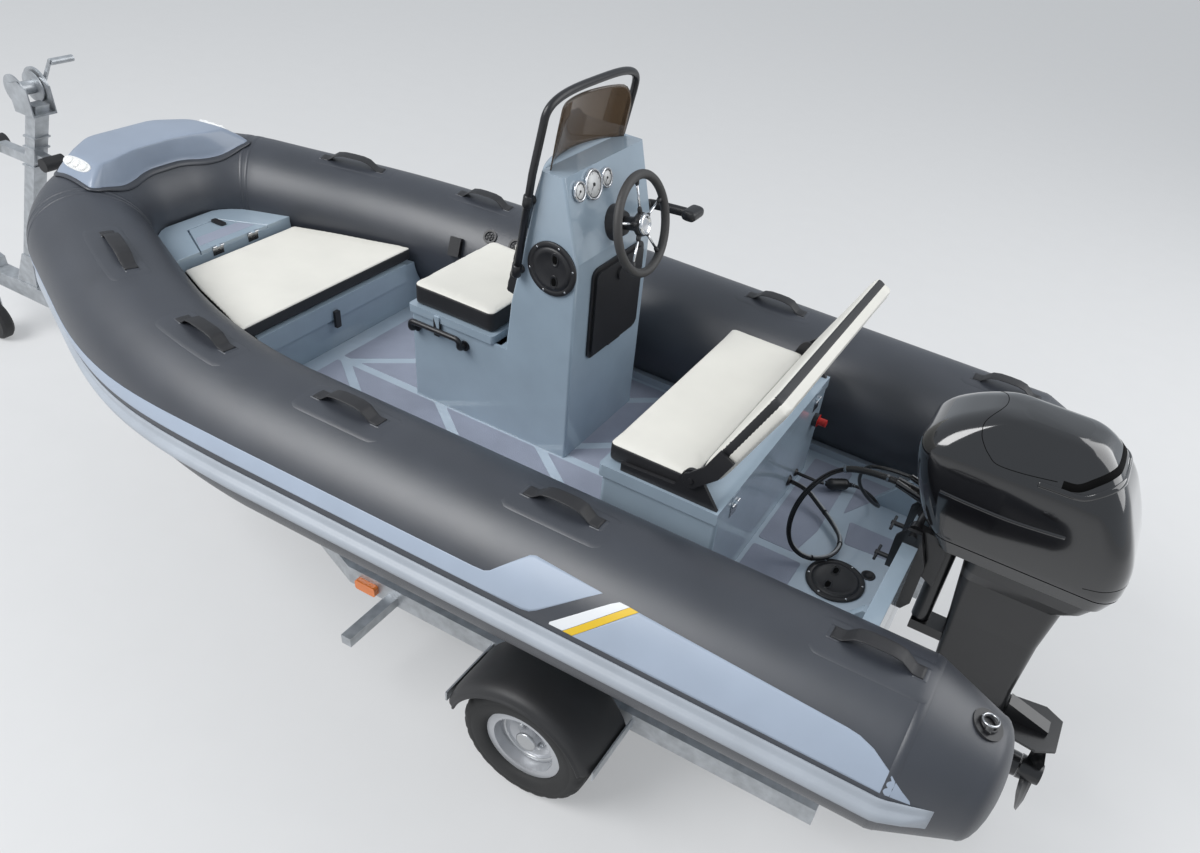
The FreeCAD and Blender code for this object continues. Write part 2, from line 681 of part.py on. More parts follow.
# Two valves and a strap loop on the starboard inner side: x and degrees round the tube
VALVES = [(817.0, 135.0), (688.0, 135.0)]
VALVE_R = 29.0
LOOP_X = 956.0
LOOP_DEG = 156.0
tube_fittings = []
for x, degrees in VALVES:
    valve = cyl((0, 0, -6.0), (0, 0, 1), VALVE_R, 12.0).cut(cyl((0, 0, 3.0), (0, 0, 1), VALVE_R - 8.0, 10.0))
    cap = cyl((0, 0, -6.0), (0, 0, 1), VALVE_R - 14.0, 11.0)
    tube_fittings.append(on_tube(valve.fuse(cap), x, -1, degrees).cut(TROUGH))
loop = box(-24.0, 24.0, -38.0, 38.0, 0.0, 24.0).cut(box(-30.0, 30.0, -28.0, 28.0, 3.0, 18.0))
tube_fittings.append(on_tube(loop, LOOP_X, -1, LOOP_DEG).cut(TROUGH))

# Lifting rings on oval patches on top of the stern cones
RING_X = -1582.0
ring_share = (TUBE_END_X - RING_X) / CONE_LENGTH
cone_slope = math.degrees(math.atan2(TUBE_R - CONE_END_R, CONE_LENGTH))
patch = cyl((0, 0, -8.0), (0, 0, 1), 42.0, 11.0)
ring = Part.makeTorus(21.0, 4.0, V(0, 0, 6.5), V(0, 0, 1))
tab = box(-8.0, 8.0, 14.0, 30.0, 2.0, 11.0)
stern_ring = patch.fuse([ring, tab])
stern_ring.rotate(V(0, 0, 0), V(0, 1, 0), -cone_slope)
stern_ring.translate(V(RING_X, TUBE_Y, TUBE_Z + TUBE_R - (TUBE_R - CONE_END_R) * ring_share + SEAT_GAP))
tube_fittings.extend(both(stern_ring.cut(TROUGH)))
put("tube_fittings", *tube_fittings)

# Console: a hollow moulding with the seat locker open at the top and a recess for the glovebox
console_side = [
    (0.0, 0.0), (CONSOLE_FOOT_X, 0.0), (CONSOLE_FOOT_X, SEAT_BOX_Z), (CONSOLE_FRONT_X, SEAT_BOX_Z),
    (CONSOLE_FRONT_X - 20.0, 540.0), (DASH_FWD_X, DASH_TOP_Z), (DASH_TOP_X, DASH_TOP_Z), (0.0, KINK_Z),
]
console = plate_xz(console_side, CONSOLE_STBD_Y, CONSOLE_PORT_Y)
console = round_edges(console, 9.0, lambda m, e: m.z > 20.0 and along(1)(m, e) is False and m.z < 990.0
                      and along(0)(m, e) is False and m.x < CONSOLE_FOOT_X + 1.0
                      and abs(m.y - (CONSOLE_STBD_Y + CONSOLE_PORT_Y) / 2.0) > 100.0)
CONSOLE_MID_Y = (CONSOLE_PORT_Y + CONSOLE_STBD_Y) / 2.0
seat_space = box(CONSOLE_FRONT_X + 2 * WALL, CONSOLE_FOOT_X - WALL, CONSOLE_STBD_Y + WALL,
                 CONSOLE_PORT_Y - WALL, WALL, SEAT_BOX_Z)
glove_space = box(0.0, GLOVE_DEPTH, GLOVE_Y - GLOVE_WIDTH / 2.0 + 25.0, GLOVE_Y + GLOVE_WIDTH / 2.0 - 25.0,
                  GLOVE_Z - GLOVE_HEIGHT / 2.0 + 25.0, GLOVE_Z + GLOVE_HEIGHT / 2.0 - 25.0)
console = console.cut(seat_space).cut(glove_space)
put("console", console)

seat_lid_z = SEAT_BOX_Z + SEAT_GAP
seat_lid = soft_block(CONSOLE_FRONT_X + 46.0, CONSOLE_FOOT_X + 8.0, CONSOLE_STBD_Y, CONSOLE_PORT_Y + 8.0,
                      seat_lid_z, seat_lid_z + SEAT_LID_THICK, 12.0)
SEAT_HINGE_X = [400.0, 580.0]
for x in SEAT_HINGE_X:
    at = (x, CONSOLE_STBD_Y - HINGE_FACE, SEAT_BOX_Z + SEAT_GAP / 2.0)
    fixed, moving = hinge(40.0, SEAT_LID_THICK)
    fixed_hinges.append(place(fixed, 0.0, at))
    seat_lid = seat_lid.fuse(place(moving, 0.0, at))
SEAT_LATCH_X = 543.0
seat_latch = soft_block(SEAT_LATCH_X - 12.0, SEAT_LATCH_X + 12.0, CONSOLE_PORT_Y + SEAT_GAP, CONSOLE_PORT_Y + 14.0,
                        296.0, seat_lid_z + 24.0, 4.0, 1)
put("front_seat_lid", seat_lid.fuse(seat_latch))
seat_cushion_z = seat_lid_z + SEAT_LID_THICK + SEAT_GAP
seat_cushion = soft_block(CONSOLE_FRONT_X + 52.0, CONSOLE_FOOT_X + 2.0, CONSOLE_STBD_Y, CONSOLE_PORT_Y,
                          seat_cushion_z, seat_cushion_z + SEAT_CUSHION_THICK, 25.0)
put("front_seat_cushion", seat_cushion)

# Backrest pad against the sloping front of the console
front_slope = math.atan2(DASH_FWD_X - CONSOLE_FRONT_X + 20.0, DASH_TOP_Z - 540.0)
front_pad = soft_block(SEAT_GAP, 40.0, CONSOLE_STBD_Y + 20.0, CONSOLE_PORT_Y - 10.0, 0.0, 205.0, 18.0, 0)
front_pad.rotate(V(0, 0, 0), V(0, 1, 0), math.degrees(front_slope))
front_pad.translate(V(CONSOLE_FRONT_X - 20.0, 0, 540.0))
put("front_backrest", front_pad)

# Curled grab rail on the port side of the seat locker
RAIL_BAR_R = 10.0
rail_y = CONSOLE_PORT_Y + 34.0
grab_points = [
    (CONSOLE_FOOT_X - 22.0, CONSOLE_PORT_Y + SEAT_GAP, 296.0), (CONSOLE_FOOT_X - 22.0, rail_y, 296.0),
    (CONSOLE_FOOT_X - 22.0, rail_y, 332.0), (430.0, rail_y, 332.0), (430.0, rail_y, 296.0),
    (430.0, CONSOLE_PORT_Y + SEAT_GAP, 296.0),
]
grab = pipe(grab_points, RAIL_BAR_R, 15.0)
flange_parts = [grab]
for x in (CONSOLE_FOOT_X - 22.0, 430.0):
    flange_parts.append(cyl((x, CONSOLE_PORT_Y + SEAT_GAP, 296.0), (0, 1, 0), 19.0, 5.0))
grab = flange_parts[0].fuse(flange_parts[1:])
put("grab_rail", grab)

# Round inspection hatch on the port face
HATCH_X = 88.0
HATCH_Z = 706.0
PLATE_R = 89.0
plate = cyl((HATCH_X, CONSOLE_PORT_Y + SEAT_GAP, HATCH_Z), (0, 1, 0), PLATE_R, 6.0)
plug = cyl((HATCH_X, CONSOLE_PORT_Y + 6.0, HATCH_Z), (0, 1, 0), 66.0, 7.0)
grip_half = 17.0
for side in (1, -1):
    recess = box(HATCH_X - 40.0, HATCH_X + 40.0, CONSOLE_PORT_Y + 7.0, CONSOLE_PORT_Y + 20.0,
                 HATCH_Z + side * 36.0 - grip_half / 2.0, HATCH_Z + side * 36.0 + grip_half / 2.0)
    plug = plug.cut(recess)
console_hatch = plate.fuse(plug)

# Three gauges on the sloping dash: distance across, bezel radius
dash_slope = math.atan2(DASH_TOP_X, DASH_TOP_Z - KINK_Z)
dash_out = V(-math.cos(dash_slope), 0, math.sin(dash_slope))
GAUGES = [(18.0, 31.0), (-60.0, 47.0), (-138.0, 31.0)]
GAUGE_Z = 948.0


def dash_point(y, z, out):
    """Point standing off the dash face."""
    x = (z - KINK_Z) * math.tan(dash_slope)
    return V(x, y, z) + dash_out * out


gauges = []
for y, r in GAUGES:
    start = dash_point(y, GAUGE_Z, SEAT_GAP)
    bezel = Part.makeCylinder(r, 10.0, start, dash_out)
    dish = Part.makeCylinder(r - 6.0, 6.0, dash_point(y, GAUGE_Z, 6.0), dash_out)
    gauges.append(bezel.cut(dish))
put("gauges", *gauges)

# Glovebox: frame round the recess and a door hinged at its lower edge
glove_frame = soft_block(-7.0, -SEAT_GAP, GLOVE_Y - GLOVE_WIDTH / 2.0, GLOVE_Y + GLOVE_WIDTH / 2.0,
                         GLOVE_Z - GLOVE_HEIGHT / 2.0, GLOVE_Z + GLOVE_HEIGHT / 2.0, 30.0, 0)
glove_frame = glove_frame.cut(box(-20.0, 20.0, GLOVE_Y - GLOVE_WIDTH / 2.0 + 25.0,
                                  GLOVE_Y + GLOVE_WIDTH / 2.0 - 25.0, GLOVE_Z - GLOVE_HEIGHT / 2.0 + 25.0,
                                  GLOVE_Z + GLOVE_HEIGHT / 2.0 - 25.0))

# Its hinge: a pin between two lugs on the frame, through a knuckle under the door
GLOVE_AXIS_X = -12.0
GLOVE_AXIS_Z = GLOVE_Z - GLOVE_HEIGHT / 2.0 + 9.5
KNUCKLE_R = 4.2
KNUCKLE_HALF = 30.0
LUG_THICK = 8.0
for y in (GLOVE_Y - KNUCKLE_HALF - 0.5 - LUG_THICK, GLOVE_Y + KNUCKLE_HALF + 0.5):
    lug = box(GLOVE_AXIS_X, -5.0, y, y + LUG_THICK, GLOVE_AXIS_Z - KNUCKLE_R, GLOVE_AXIS_Z + KNUCKLE_R)
    lug = lug.fuse(cyl((GLOVE_AXIS_X, y, GLOVE_AXIS_Z), (0, 1, 0), KNUCKLE_R, LUG_THICK))
    glove_frame = glove_frame.fuse(lug)
pin_start = (GLOVE_AXIS_X, GLOVE_Y - KNUCKLE_HALF - LUG_THICK, GLOVE_AXIS_Z)
glove_frame = glove_frame.fuse(cyl(pin_start, (0, 1, 0), HINGE_PIN_R, 2.0 * (KNUCKLE_HALF + LUG_THICK)))
put("glovebox_frame", glove_frame)
glove_door = soft_block(-16.0, -7.0 - SEAT_GAP, GLOVE_Y - GLOVE_WIDTH / 2.0 + 14.0,
                        GLOVE_Y + GLOVE_WIDTH / 2.0 - 14.0, GLOVE_Z - GLOVE_HEIGHT / 2.0 + 14.0,
                        GLOVE_Z + GLOVE_HEIGHT / 2.0 - 14.0, 24.0, 0)
latch = cyl((-16.0, GLOVE_Y, GLOVE_Z + GLOVE_HEIGHT / 2.0 - 60.0), (-1, 0, 0), 24.0, 8.0)
knuckle_y = GLOVE_Y - KNUCKLE_HALF
knuckle = cyl((GLOVE_AXIS_X, knuckle_y, GLOVE_AXIS_Z), (0, 1, 0), KNUCKLE_R, 2.0 * KNUCKLE_HALF)
knuckle = knuckle.fuse(box(-16.0, GLOVE_AXIS_X + KNUCKLE_R, knuckle_y, knuckle_y + 2.0 * KNUCKLE_HALF,
                           GLOVE_AXIS_Z, GLOVE_Z - GLOVE_HEIGHT / 2.0 + 16.0))
glove_door = glove_door.fuse([latch, knuckle])
put("glovebox_door", glove_door.cut(cyl(pin_start, (0, 1, 0), HINGE_PIN_R + PIN_FIT, 2.0 * KNUCKLE_HALF + 20.0)))

# Windscreen hoop: a bent tube on both sides of the console, with stand-offs
HOOP_R = 12.0
STANDOFF_X = 36.0
HOOP_TOP_Z = 1235.0
hoop_port = CONSOLE_PORT_Y + 22.0
hoop_stbd = CONSOLE_STBD_Y - 22.0
hoop_points = [
    (228.0, hoop_port, 640.0), (150.0, hoop_port, 1090.0), (66.0, hoop_port - 70.0, HOOP_TOP_Z),
    (66.0, hoop_stbd + 70.0, HOOP_TOP_Z), (150.0, hoop_stbd, 1090.0), (228.0, hoop_stbd, 640.0),
]
hoop = pipe(hoop_points, HOOP_R, 95.0)
standoffs = []
for z in (700.0, 890.0):
    x = 228.0 - (z - 640.0) * (78.0 / 450.0)
    standoffs.append(box(x - STANDOFF_X, x, CONSOLE_PORT_Y + SEAT_GAP, hoop_port, z - 8.0, z + 8.0))
    standoffs.append(box(x - STANDOFF_X, x, hoop_stbd, CONSOLE_STBD_Y - SEAT_GAP, z - 8.0, z + 8.0))
put("screen_hoop", hoop.fuse(standoffs))

# Curved screen standing on the console top inside the hoop
SCREEN_THICK = 5.0
SCREEN_R = 330.0
screen_mid_x = 128.0
screen_low_z = DASH_TOP_Z + SEAT_GAP
screen_outer = Part.makeCylinder(SCREEN_R, 190.0, V(screen_mid_x - SCREEN_R, CONSOLE_MID_Y, screen_low_z))
screen_inner = Part.makeCylinder(SCREEN_R - SCREEN_THICK, 190.0,
                                 V(screen_mid_x - SCREEN_R, CONSOLE_MID_Y, screen_low_z))
screen = screen_outer.cut(screen_inner)
screen_half = (CONSOLE_PORT_Y - CONSOLE_STBD_Y) / 2.0 - 32.0
screen = screen.common(box(-120.0, screen_mid_x + 10.0, CONSOLE_MID_Y - screen_half,
                           CONSOLE_MID_Y + screen_half, screen_low_z, screen_low_z + 190.0))
put("windscreen", sorted(screen.Solids, key=lambda s: s.BoundBox.XMax)[-1])

# Steering wheel on its boss, square to the dash
boss_low = dash_point(WHEEL_Y, WHEEL_Z - 24.0, SEAT_GAP)
boss = Part.makeCone(58.0, 36.0, 42.0, boss_low, dash_out)
put("helm_boss", boss)
hub_start = dash_point(WHEEL_Y, WHEEL_Z - 24.0, 42.0 + 2 * SEAT_GAP)
hub = Part.makeCylinder(20.0, WHEEL_REACH - 42.0, hub_start, dash_out)
wheel_middle = dash_point(WHEEL_Y, WHEEL_Z - 24.0, WHEEL_REACH)
rim = Part.makeTorus(WHEEL_R - WHEEL_RIM_R, WHEEL_RIM_R, wheel_middle, dash_out)
cap = Part.makeCylinder(32.0, 12.0, wheel_middle - dash_out * 6.0, dash_out)
spokes = []
across = V(0, 1, 0)
upward = dash_out.cross(across)
SPOKE_COUNT = 4
SPOKE_R = 6.5
for i in range(SPOKE_COUNT):
    a = 2.0 * math.pi * i / SPOKE_COUNT + math.pi / 4.0
    direction = across * math.cos(a) + upward * math.sin(a)
    spokes.append(Part.makeCylinder(SPOKE_R, WHEEL_R - WHEEL_RIM_R - 4.0, wheel_middle, direction))
wheel_hub = hub.fuse([cap] + spokes)
put("steering_wheel", rim.fuse(wheel_hub))

# Remote control on the starboard side, its lever pointing aft
throttle_x = 8.0
throttle_z = 800.0
throttle = soft_block(throttle_x, throttle_x + 75.0, CONSOLE_STBD_Y - 42.0, CONSOLE_STBD_Y - SEAT_GAP,
                      throttle_z - 60.0, throttle_z + 50.0, 14.0, 1)
lever = pipe([(throttle_x + 35.0, CONSOLE_STBD_Y - 40.0, throttle_z), (throttle_x + 35.0, CONSOLE_STBD_Y - 62.0, throttle_z),
              (throttle_x - 150.0, CONSOLE_STBD_Y - 62.0, throttle_z + 14.0)], 9.0, 14.0)
knob = cyl((throttle_x - 150.0, CONSOLE_STBD_Y - 92.0, throttle_z + 12.0), (0, 1, 0), 15.0, 76.0)
put("throttle", throttle.fuse([lever, knob]))

# Helm seat: a hollow box with a lid, cushion and a backrest that folds forward
helm_box = box(HELM_AFT_X, HELM_FWD_X, HELM_STBD_Y, HELM_PORT_Y, 0.0, HELM_BOX_Z)
helm_box = round_edges(helm_box, 14.0, along(2))
helm_box = helm_box.cut(box(HELM_AFT_X + WALL, HELM_FWD_X - WALL, HELM_STBD_Y + WALL, HELM_PORT_Y - WALL,
                            WALL, HELM_BOX_Z + 1.0))
put("helm_box", helm_box)
helm_lid_z = HELM_BOX_Z + SEAT_GAP
helm_lid = box(HELM_AFT_X, HELM_FWD_X + 8.0, HELM_STBD_Y - 8.0, HELM_PORT_Y + 8.0, helm_lid_z,
               helm_lid_z + HELM_LID_THICK)
helm_lid = round_edges(helm_lid, 12.0, lambda m, e: along(2)(m, e) and m.x > HELM_FWD_X - 30.0)
HELM_HINGE_Y = [344.0, -332.0]
for y in HELM_HINGE_Y:
    at = (HELM_AFT_X - HINGE_FACE, y, HELM_BOX_Z + SEAT_GAP / 2.0)
    fixed, moving = hinge(42.0, HELM_LID_THICK - 4.0)
    fixed_hinges.append(place(fixed, -90.0, at))
    helm_lid = helm_lid.fuse(place(moving, -90.0, at))
put("helm_lid", helm_lid)
put("seat_hinges", *fixed_hinges)
helm_cushion_z = helm_lid_z + HELM_LID_THICK + SEAT_GAP
helm_cushion = soft_block(HELM_AFT_X + 96.0, HELM_FWD_X + 2.0, HELM_STBD_Y + 14.0, HELM_PORT_Y - 14.0,
                          helm_cushion_z, helm_cushion_z + HELM_CUSHION_THICK, 22.0)
put("helm_cushion", helm_cushion)

# Brackets at both ends of the cushion, each with a pivot boss for the backrest arm
bracket_side = [
    (HELM_AFT_X + 8.0, helm_cushion_z), (HELM_FWD_X - 60.0, helm_cushion_z),
    (HELM_FWD_X - 60.0, helm_cushion_z + 26.0), (BACKREST_PIVOT_X + 50.0, helm_cushion_z + 34.0),
    (BACKREST_PIVOT_X + 30.0, BACKREST_PIVOT_Z + 10.0), (BACKREST_PIVOT_X - 26.0, BACKREST_PIVOT_Z + 10.0),
]
brackets = []
BRACKET_THICK = 12.0
PIVOT_R = 9.0
for y0 in (HELM_PORT_Y - 14.0 + SEAT_GAP, HELM_STBD_Y + 14.0 - SEAT_GAP - BRACKET_THICK):
    bracket = plate_xz(bracket_side, y0, y0 + BRACKET_THICK)
    boss = cyl((BACKREST_PIVOT_X, y0, BACKREST_PIVOT_Z), (0, 1, 0), 30.0, BRACKET_THICK)
    bracket = bracket.fuse(boss)
    inward = -1.0 if y0 > 0 else 1.0
    pin_y = y0 if y0 > 0 else y0 + BRACKET_THICK
    outward_y = y0 + BRACKET_THICK if y0 > 0 else y0
    pin = cyl((BACKREST_PIVOT_X, outward_y, BACKREST_PIVOT_Z), (0, -inward, 0), PIVOT_R, BRACKET_THICK + 3.0)
    brackets.append(bracket.fuse(pin))
put("seat_brackets", *brackets)

# Backrest pad on two arms outside the brackets
lean = math.radians(BACKREST_LEAN_DEG)
ARM_GAP = 1.0
bracket_port = HELM_PORT_Y - 14.0 + SEAT_GAP + BRACKET_THICK
bracket_stbd = HELM_STBD_Y + 14.0 - SEAT_GAP - BRACKET_THICK
backrest = soft_block(-BACKREST_THICK, 0.0, bracket_stbd - ARM_GAP + SEAT_GAP, bracket_port + ARM_GAP - SEAT_GAP,
                      0.0, BACKREST_LENGTH, 20.0, 0)
backrest.rotate(V(0, 0, 0), V(0, 1, 0), -BACKREST_LEAN_DEG)
backrest.translate(V(BACKREST_PIVOT_X - 16.0, 0, BACKREST_PIVOT_Z + 36.0))
put("helm_backrest", backrest)
arms = []
ARM_THICK = 10.0
arm_side = [(-26.0, 0.0), (24.0, 0.0), (0.0, 70.0), (0.0, 150.0), (-52.0, 150.0), (-52.0, 70.0)]
for y in (bracket_port + ARM_GAP, bracket_stbd - ARM_GAP - ARM_THICK):
    eye = cyl((0, y, 0), (0, 1, 0), 26.0, ARM_THICK)
    arm = plate_xz(arm_side, y, y + ARM_THICK).fuse(eye)
    arm = arm.cut(cyl((0, y - 1.0, 0), (0, 1, 0), PIVOT_R + PIN_FIT, ARM_THICK + 2.0))
    arm.rotate(V(0, 0, 0), V(0, 1, 0), -BACKREST_LEAN_DEG)
    arm.translate(V(BACKREST_PIVOT_X, 0, BACKREST_PIVOT_Z))
    arms.append(arm)

put("backrest_arms", *arms)

# Battery isolator on the aft face of the helm seat
switch_start = (HELM_AFT_X - SEAT_GAP, HELM_STBD_Y + 70.0, 255.0)
switch_body = cyl(switch_start, (-1, 0, 0), 24.0, 18.0)
switch_key = cyl((HELM_AFT_X - 18.0, HELM_STBD_Y + 70.0, 255.0), (-1, 0, 0), 14.0, 30.0)
cable_gland = cone((HELM_AFT_X - SEAT_GAP, -230.0, 60.0), (-1, 0, 0), 22.0, 15.0, 7.7)
fuel_gland = cone((HELM_AFT_X - SEAT_GAP, -300.0, 52.0), (-1, 0, 0), 16.0, 11.0, 7.7)
put("helm_fittings", switch_body.fuse(switch_key), cable_gland, fuel_gland)

# Deck hatch in the splash well
DECK_HATCH_X = -1050.0
DECK_HATCH_Y = 90.0
deck_hatch = cyl((DECK_HATCH_X, DECK_HATCH_Y, SEAT_GAP), (0, 0, 1), 98.0, 5.0)
deck_plug = cyl((DECK_HATCH_X, DECK_HATCH_Y, 5.0), (0, 0, 1), 72.0, 7.0)
for side in (1, -1):
    deck_plug = deck_plug.cut(box(DECK_HATCH_X - 42.0, DECK_HATCH_X + 42.0, DECK_HATCH_Y + side * 38.0 - 9.0,
                                  DECK_HATCH_Y + side * 38.0 + 9.0, 6.0, 14.0))
put("inspection_hatches", console_hatch, deck_hatch.fuse(deck_plug))

# Navigation lamps let into the sloping front corners of the bow pad
LAMP_X = PAD_FWD_X - 132.0
LAMP_Y = PAD_HALF_Y - 138.0
LAMP_Z = PAD_TOP_Z - 23.0
lamp = soft_block(-45.0, 45.0, -8.0, 9.0, -19.0, 19.0, 17.0, 1)
lamp.rotate(V(0, 0, 0), V(1, 0, 0), 44.0)
lamp.rotate(V(0, 0, 0), V(0, 0, 1), -56.7)
lamp.translate(V(LAMP_X, LAMP_Y, LAMP_Z))
lamp = lamp.cut(pad)
put("nav_lamps", *both(sorted(lamp.Solids, key=lambda s: s.Volume)[-1]))

# Clamp bracket: two cheeks over the transom, joined by the tilt tube
CHEEK_Y = 78.0
CHEEK_THICK = 14.0
TILT_PIN_R = 12.0
jaw_x = TRANSOM_X + SEAT_GAP
back_x = TRANSOM_X - TRANSOM_THICK - SEAT_GAP
over_z = TRANSOM_TOP_Z + SEAT_GAP
cheek_side = [
    (jaw_x, over_z - 110.0), (jaw_x + 26.0, over_z - 110.0), (jaw_x + 26.0, over_z + 10.0),
    (TILT_X + 22.0, TILT_Z + 18.0), (TILT_X - 22.0, TILT_Z + 18.0), (back_x - 38.0, over_z - 60.0),
    (back_x - 38.0, over_z - 215.0), (back_x - 16.0, over_z - 250.0), (back_x, over_z - 250.0),
    (back_x, over_z), (jaw_x, over_z),
]
cheek = plate_xz(cheek_side, CHEEK_Y, CHEEK_Y + CHEEK_THICK)
clamp_screw = cyl((jaw_x + 26.0, CHEEK_Y + CHEEK_THICK / 2.0, over_z - 80.0), (1, 0, 0), 8.0, 42.0)
screw_handle = cyl((jaw_x + 60.0, CHEEK_Y + CHEEK_THICK / 2.0 - 36.0, over_z - 80.0), (0, 1, 0), 5.0, 72.0)
half_clamp = [cheek, clamp_screw, screw_handle]
tilt_tube = cyl((TILT_X, -CHEEK_Y - CHEEK_THICK - 12.0, TILT_Z), (0, 1, 0), TILT_PIN_R,
                2.0 * (CHEEK_Y + CHEEK_THICK + 12.0))
clamp_parts = half_clamp + [mirror(s) for s in half_clamp]
put("engine_clamp", tilt_tube.fuse(clamp_parts))

# Swivel bracket: two eyes on the tilt tube and the upright barrel of the steering shaft
EYE_Y = 40.0
EYE_THICK = 28.0
EYE_R = 24.0
BARREL_R = 30.0
BARREL_LOW_Z = -60.0
BARREL_TOP_Z = TILT_Z + 12.0
PILOT_R = 15.0
eye_side = [
    (TILT_X, TILT_Z - EYE_R), (TILT_X, TILT_Z + EYE_R * 0.8), (STEER_X, BARREL_TOP_Z), (STEER_X, 120.0),
    (back_x - 24.0, 150.0), (back_x - 16.0, TILT_Z - EYE_R),
]
swivel_parts = []
for y0 in (EYE_Y, -EYE_Y - EYE_THICK):
    eye = cyl((TILT_X, y0, TILT_Z), (0, 1, 0), EYE_R, EYE_THICK)
    arm = plate_xz(eye_side, y0, y0 + EYE_THICK)
    swivel_parts.extend([eye, arm])
bridge = plate_xz([(back_x - 30.0, 150.0), (back_x - 30.0, 262.0), (STEER_X, 262.0), (STEER_X, 120.0)],
                  -EYE_Y - 1.0, EYE_Y + 1.0)
barrel = cyl((STEER_X, 0, BARREL_LOW_Z), (0, 0, 1), BARREL_R, BARREL_TOP_Z - BARREL_LOW_Z)
swivel = barrel.fuse(swivel_parts + [bridge])
swivel = swivel.cut(cyl((TILT_X, -CHEEK_Y, TILT_Z), (0, 1, 0), TILT_PIN_R + PIN_FIT, 2.0 * CHEEK_Y))
swivel = swivel.cut(cyl((STEER_X, 0, BARREL_LOW_Z - 1.0), (0, 0, 1), PILOT_R + PIN_FIT,
                        BARREL_TOP_Z - BARREL_LOW_Z + 2.0))
put("engine_swivel", sorted(swivel.Solids, key=lambda s: s.Volume)[-1])

# Leg: pilot shaft, two mounts and the tapering midsection under its apron.
# Height, front and back behind the steering axis, half width, corner
LEG_SECTIONS = [
    (COWL_LOW_Z, 50.0, 445.0, 130.0, 55.0),
    (262.0, 53.0, 417.0, 106.0, 46.0),
    (215.0, 57.0, 368.0, 82.0, 38.0),
    (40.0, 75.0, LEG_BEHIND, 62.0, 28.0),
    (-180.0, 93.0, LEG_BEHIND, 46.0, 22.0),
    (PLATE_Z, 105.0, LEG_BEHIND + 10.0, 40.0, 20.0),
]


def level_loft(sections, ruled):
    """Loft through level outlines placed behind the steering axis."""
    wires = []
    for z, front, back, half_y, radius in sections:
        wires.append(rounded_outline(STEER_X - back, STEER_X - front, half_y, radius, z))
    return Part.makeLoft(wires, True, ruled)


leg = level_loft(LEG_SECTIONS, True)
pilot = cyl((STEER_X, 0, BARREL_LOW_Z - 20.0), (0, 0, 1), PILOT_R, BARREL_TOP_Z - BARREL_LOW_Z + 24.0)
upper_mount = box(STEER_X - 65.0, STEER_X + 26.0, -44.0, 44.0, BARREL_TOP_Z + 3.0, COWL_LOW_Z)
lower_mount = box(STEER_X - 95.0, STEER_X + 24.0, -38.0, 38.0, BARREL_LOW_Z - 40.0, BARREL_LOW_Z - 3.0)
put("engine_leg", leg.fuse([pilot, upper_mount, lower_mount]))

# Lower pan and cowl, in the same columns
PAN_SECTIONS = [
    (COWL_LOW_Z + SEAT_GAP, -45.0, COWL_BEHIND - 21.0, COWL_HALF_Y - 30.0, 55.0),
    (COWL_JOINT_Z, -82.0, COWL_BEHIND, COWL_HALF_Y - 14.0, 75.0),
]
BOOT_Y = -24.0
BOOT_START = (STEER_X + 55.0, BOOT_Y, COWL_LOW_Z + 20.0)
BOOT_END = (STEER_X + 217.0, BOOT_Y, COWL_LOW_Z + 54.0)
HOSE_Y = -68.0
TAIL_START = (STEER_X + 45.0, HOSE_Y, COWL_LOW_Z + 23.0)
TAIL_END = (STEER_X + 185.0, HOSE_Y, COWL_LOW_Z + 58.0)


def taper_between(start, end, radius0, radius1):
    """Slanting taper or round bar between two points, its ends square to x."""
    rings = []
    for point, radius in ((start, radius0), (end, radius1)):
        rings.append(Part.Wire(Part.Circle(V(*point), V(1, 0, 0), radius).toShape()))
    return Part.makeLoft(rings, True, True)


boot = taper_between(BOOT_START, BOOT_END, 24.0, 17.0)
hose_tail = taper_between(TAIL_START, TAIL_END, 10.0, 10.0)
put("engine_pan", level_loft(PAN_SECTIONS, True).fuse([boot, hose_tail]))
COWL_SECTIONS = [
    (COWL_JOINT_Z + 2.0, -83.0, COWL_BEHIND, COWL_HALF_Y - 14.0, 75.0),
    (COWL_TOP_Z - 309.0, -140.0, COWL_BEHIND - 6.0, COWL_HALF_Y, 80.0),
    (COWL_TOP_Z - 159.0, -COWL_FORWARD, COWL_BEHIND - 71.0, COWL_HALF_Y - 6.0, 80.0),
    (COWL_TOP_Z - 67.0, -120.0, COWL_BEHIND - 134.0, COWL_HALF_Y - 44.0, 70.0),
    (COWL_TOP_Z, 15.0, COWL_BEHIND - 231.0, COWL_HALF_Y - 92.0, 45.0),
]
put("engine_cowl", level_loft(COWL_SECTIONS, False))

# Gearcase: plate over the propeller with a rib, strut, torpedo, skeg and trim tab
PLATE_AFT_X = STEER_X - PLATE_BEHIND
PLATE_THICK = 10.0
plate_plan = [
    (STEER_X - 95.0, 34.0), (STEER_X - 185.0, 62.0), (PLATE_AFT_X + 60.0, 104.0), (PLATE_AFT_X, 70.0),
]
plate_outline = plate_plan + [(x, -y) for x, y in reversed(plate_plan)]
plate_top = PLATE_Z - SEAT_GAP
av_plate = plate_xy(plate_outline, plate_top - PLATE_THICK, plate_top)
RIB_HALF = 26.0
rib_fwd = STEER_X - LEG_BEHIND - 13.0
rib_side = [
    (rib_fwd, plate_top - 5.0), (rib_fwd, PLATE_Z + 66.0), (PLATE_AFT_X + 40.0, PLATE_Z + 18.0),
    (PLATE_AFT_X + 40.0, plate_top - 5.0),
]
rib = plate_xz(rib_side, -RIB_HALF, RIB_HALF)
torpedo_nose = STEER_X - 90.0
torpedo_end = PROP_END_X + 80.0


def gear_x(share):
    """Place along the torpedo, from its nose to its end."""
    return torpedo_nose + (torpedo_end - torpedo_nose) * share


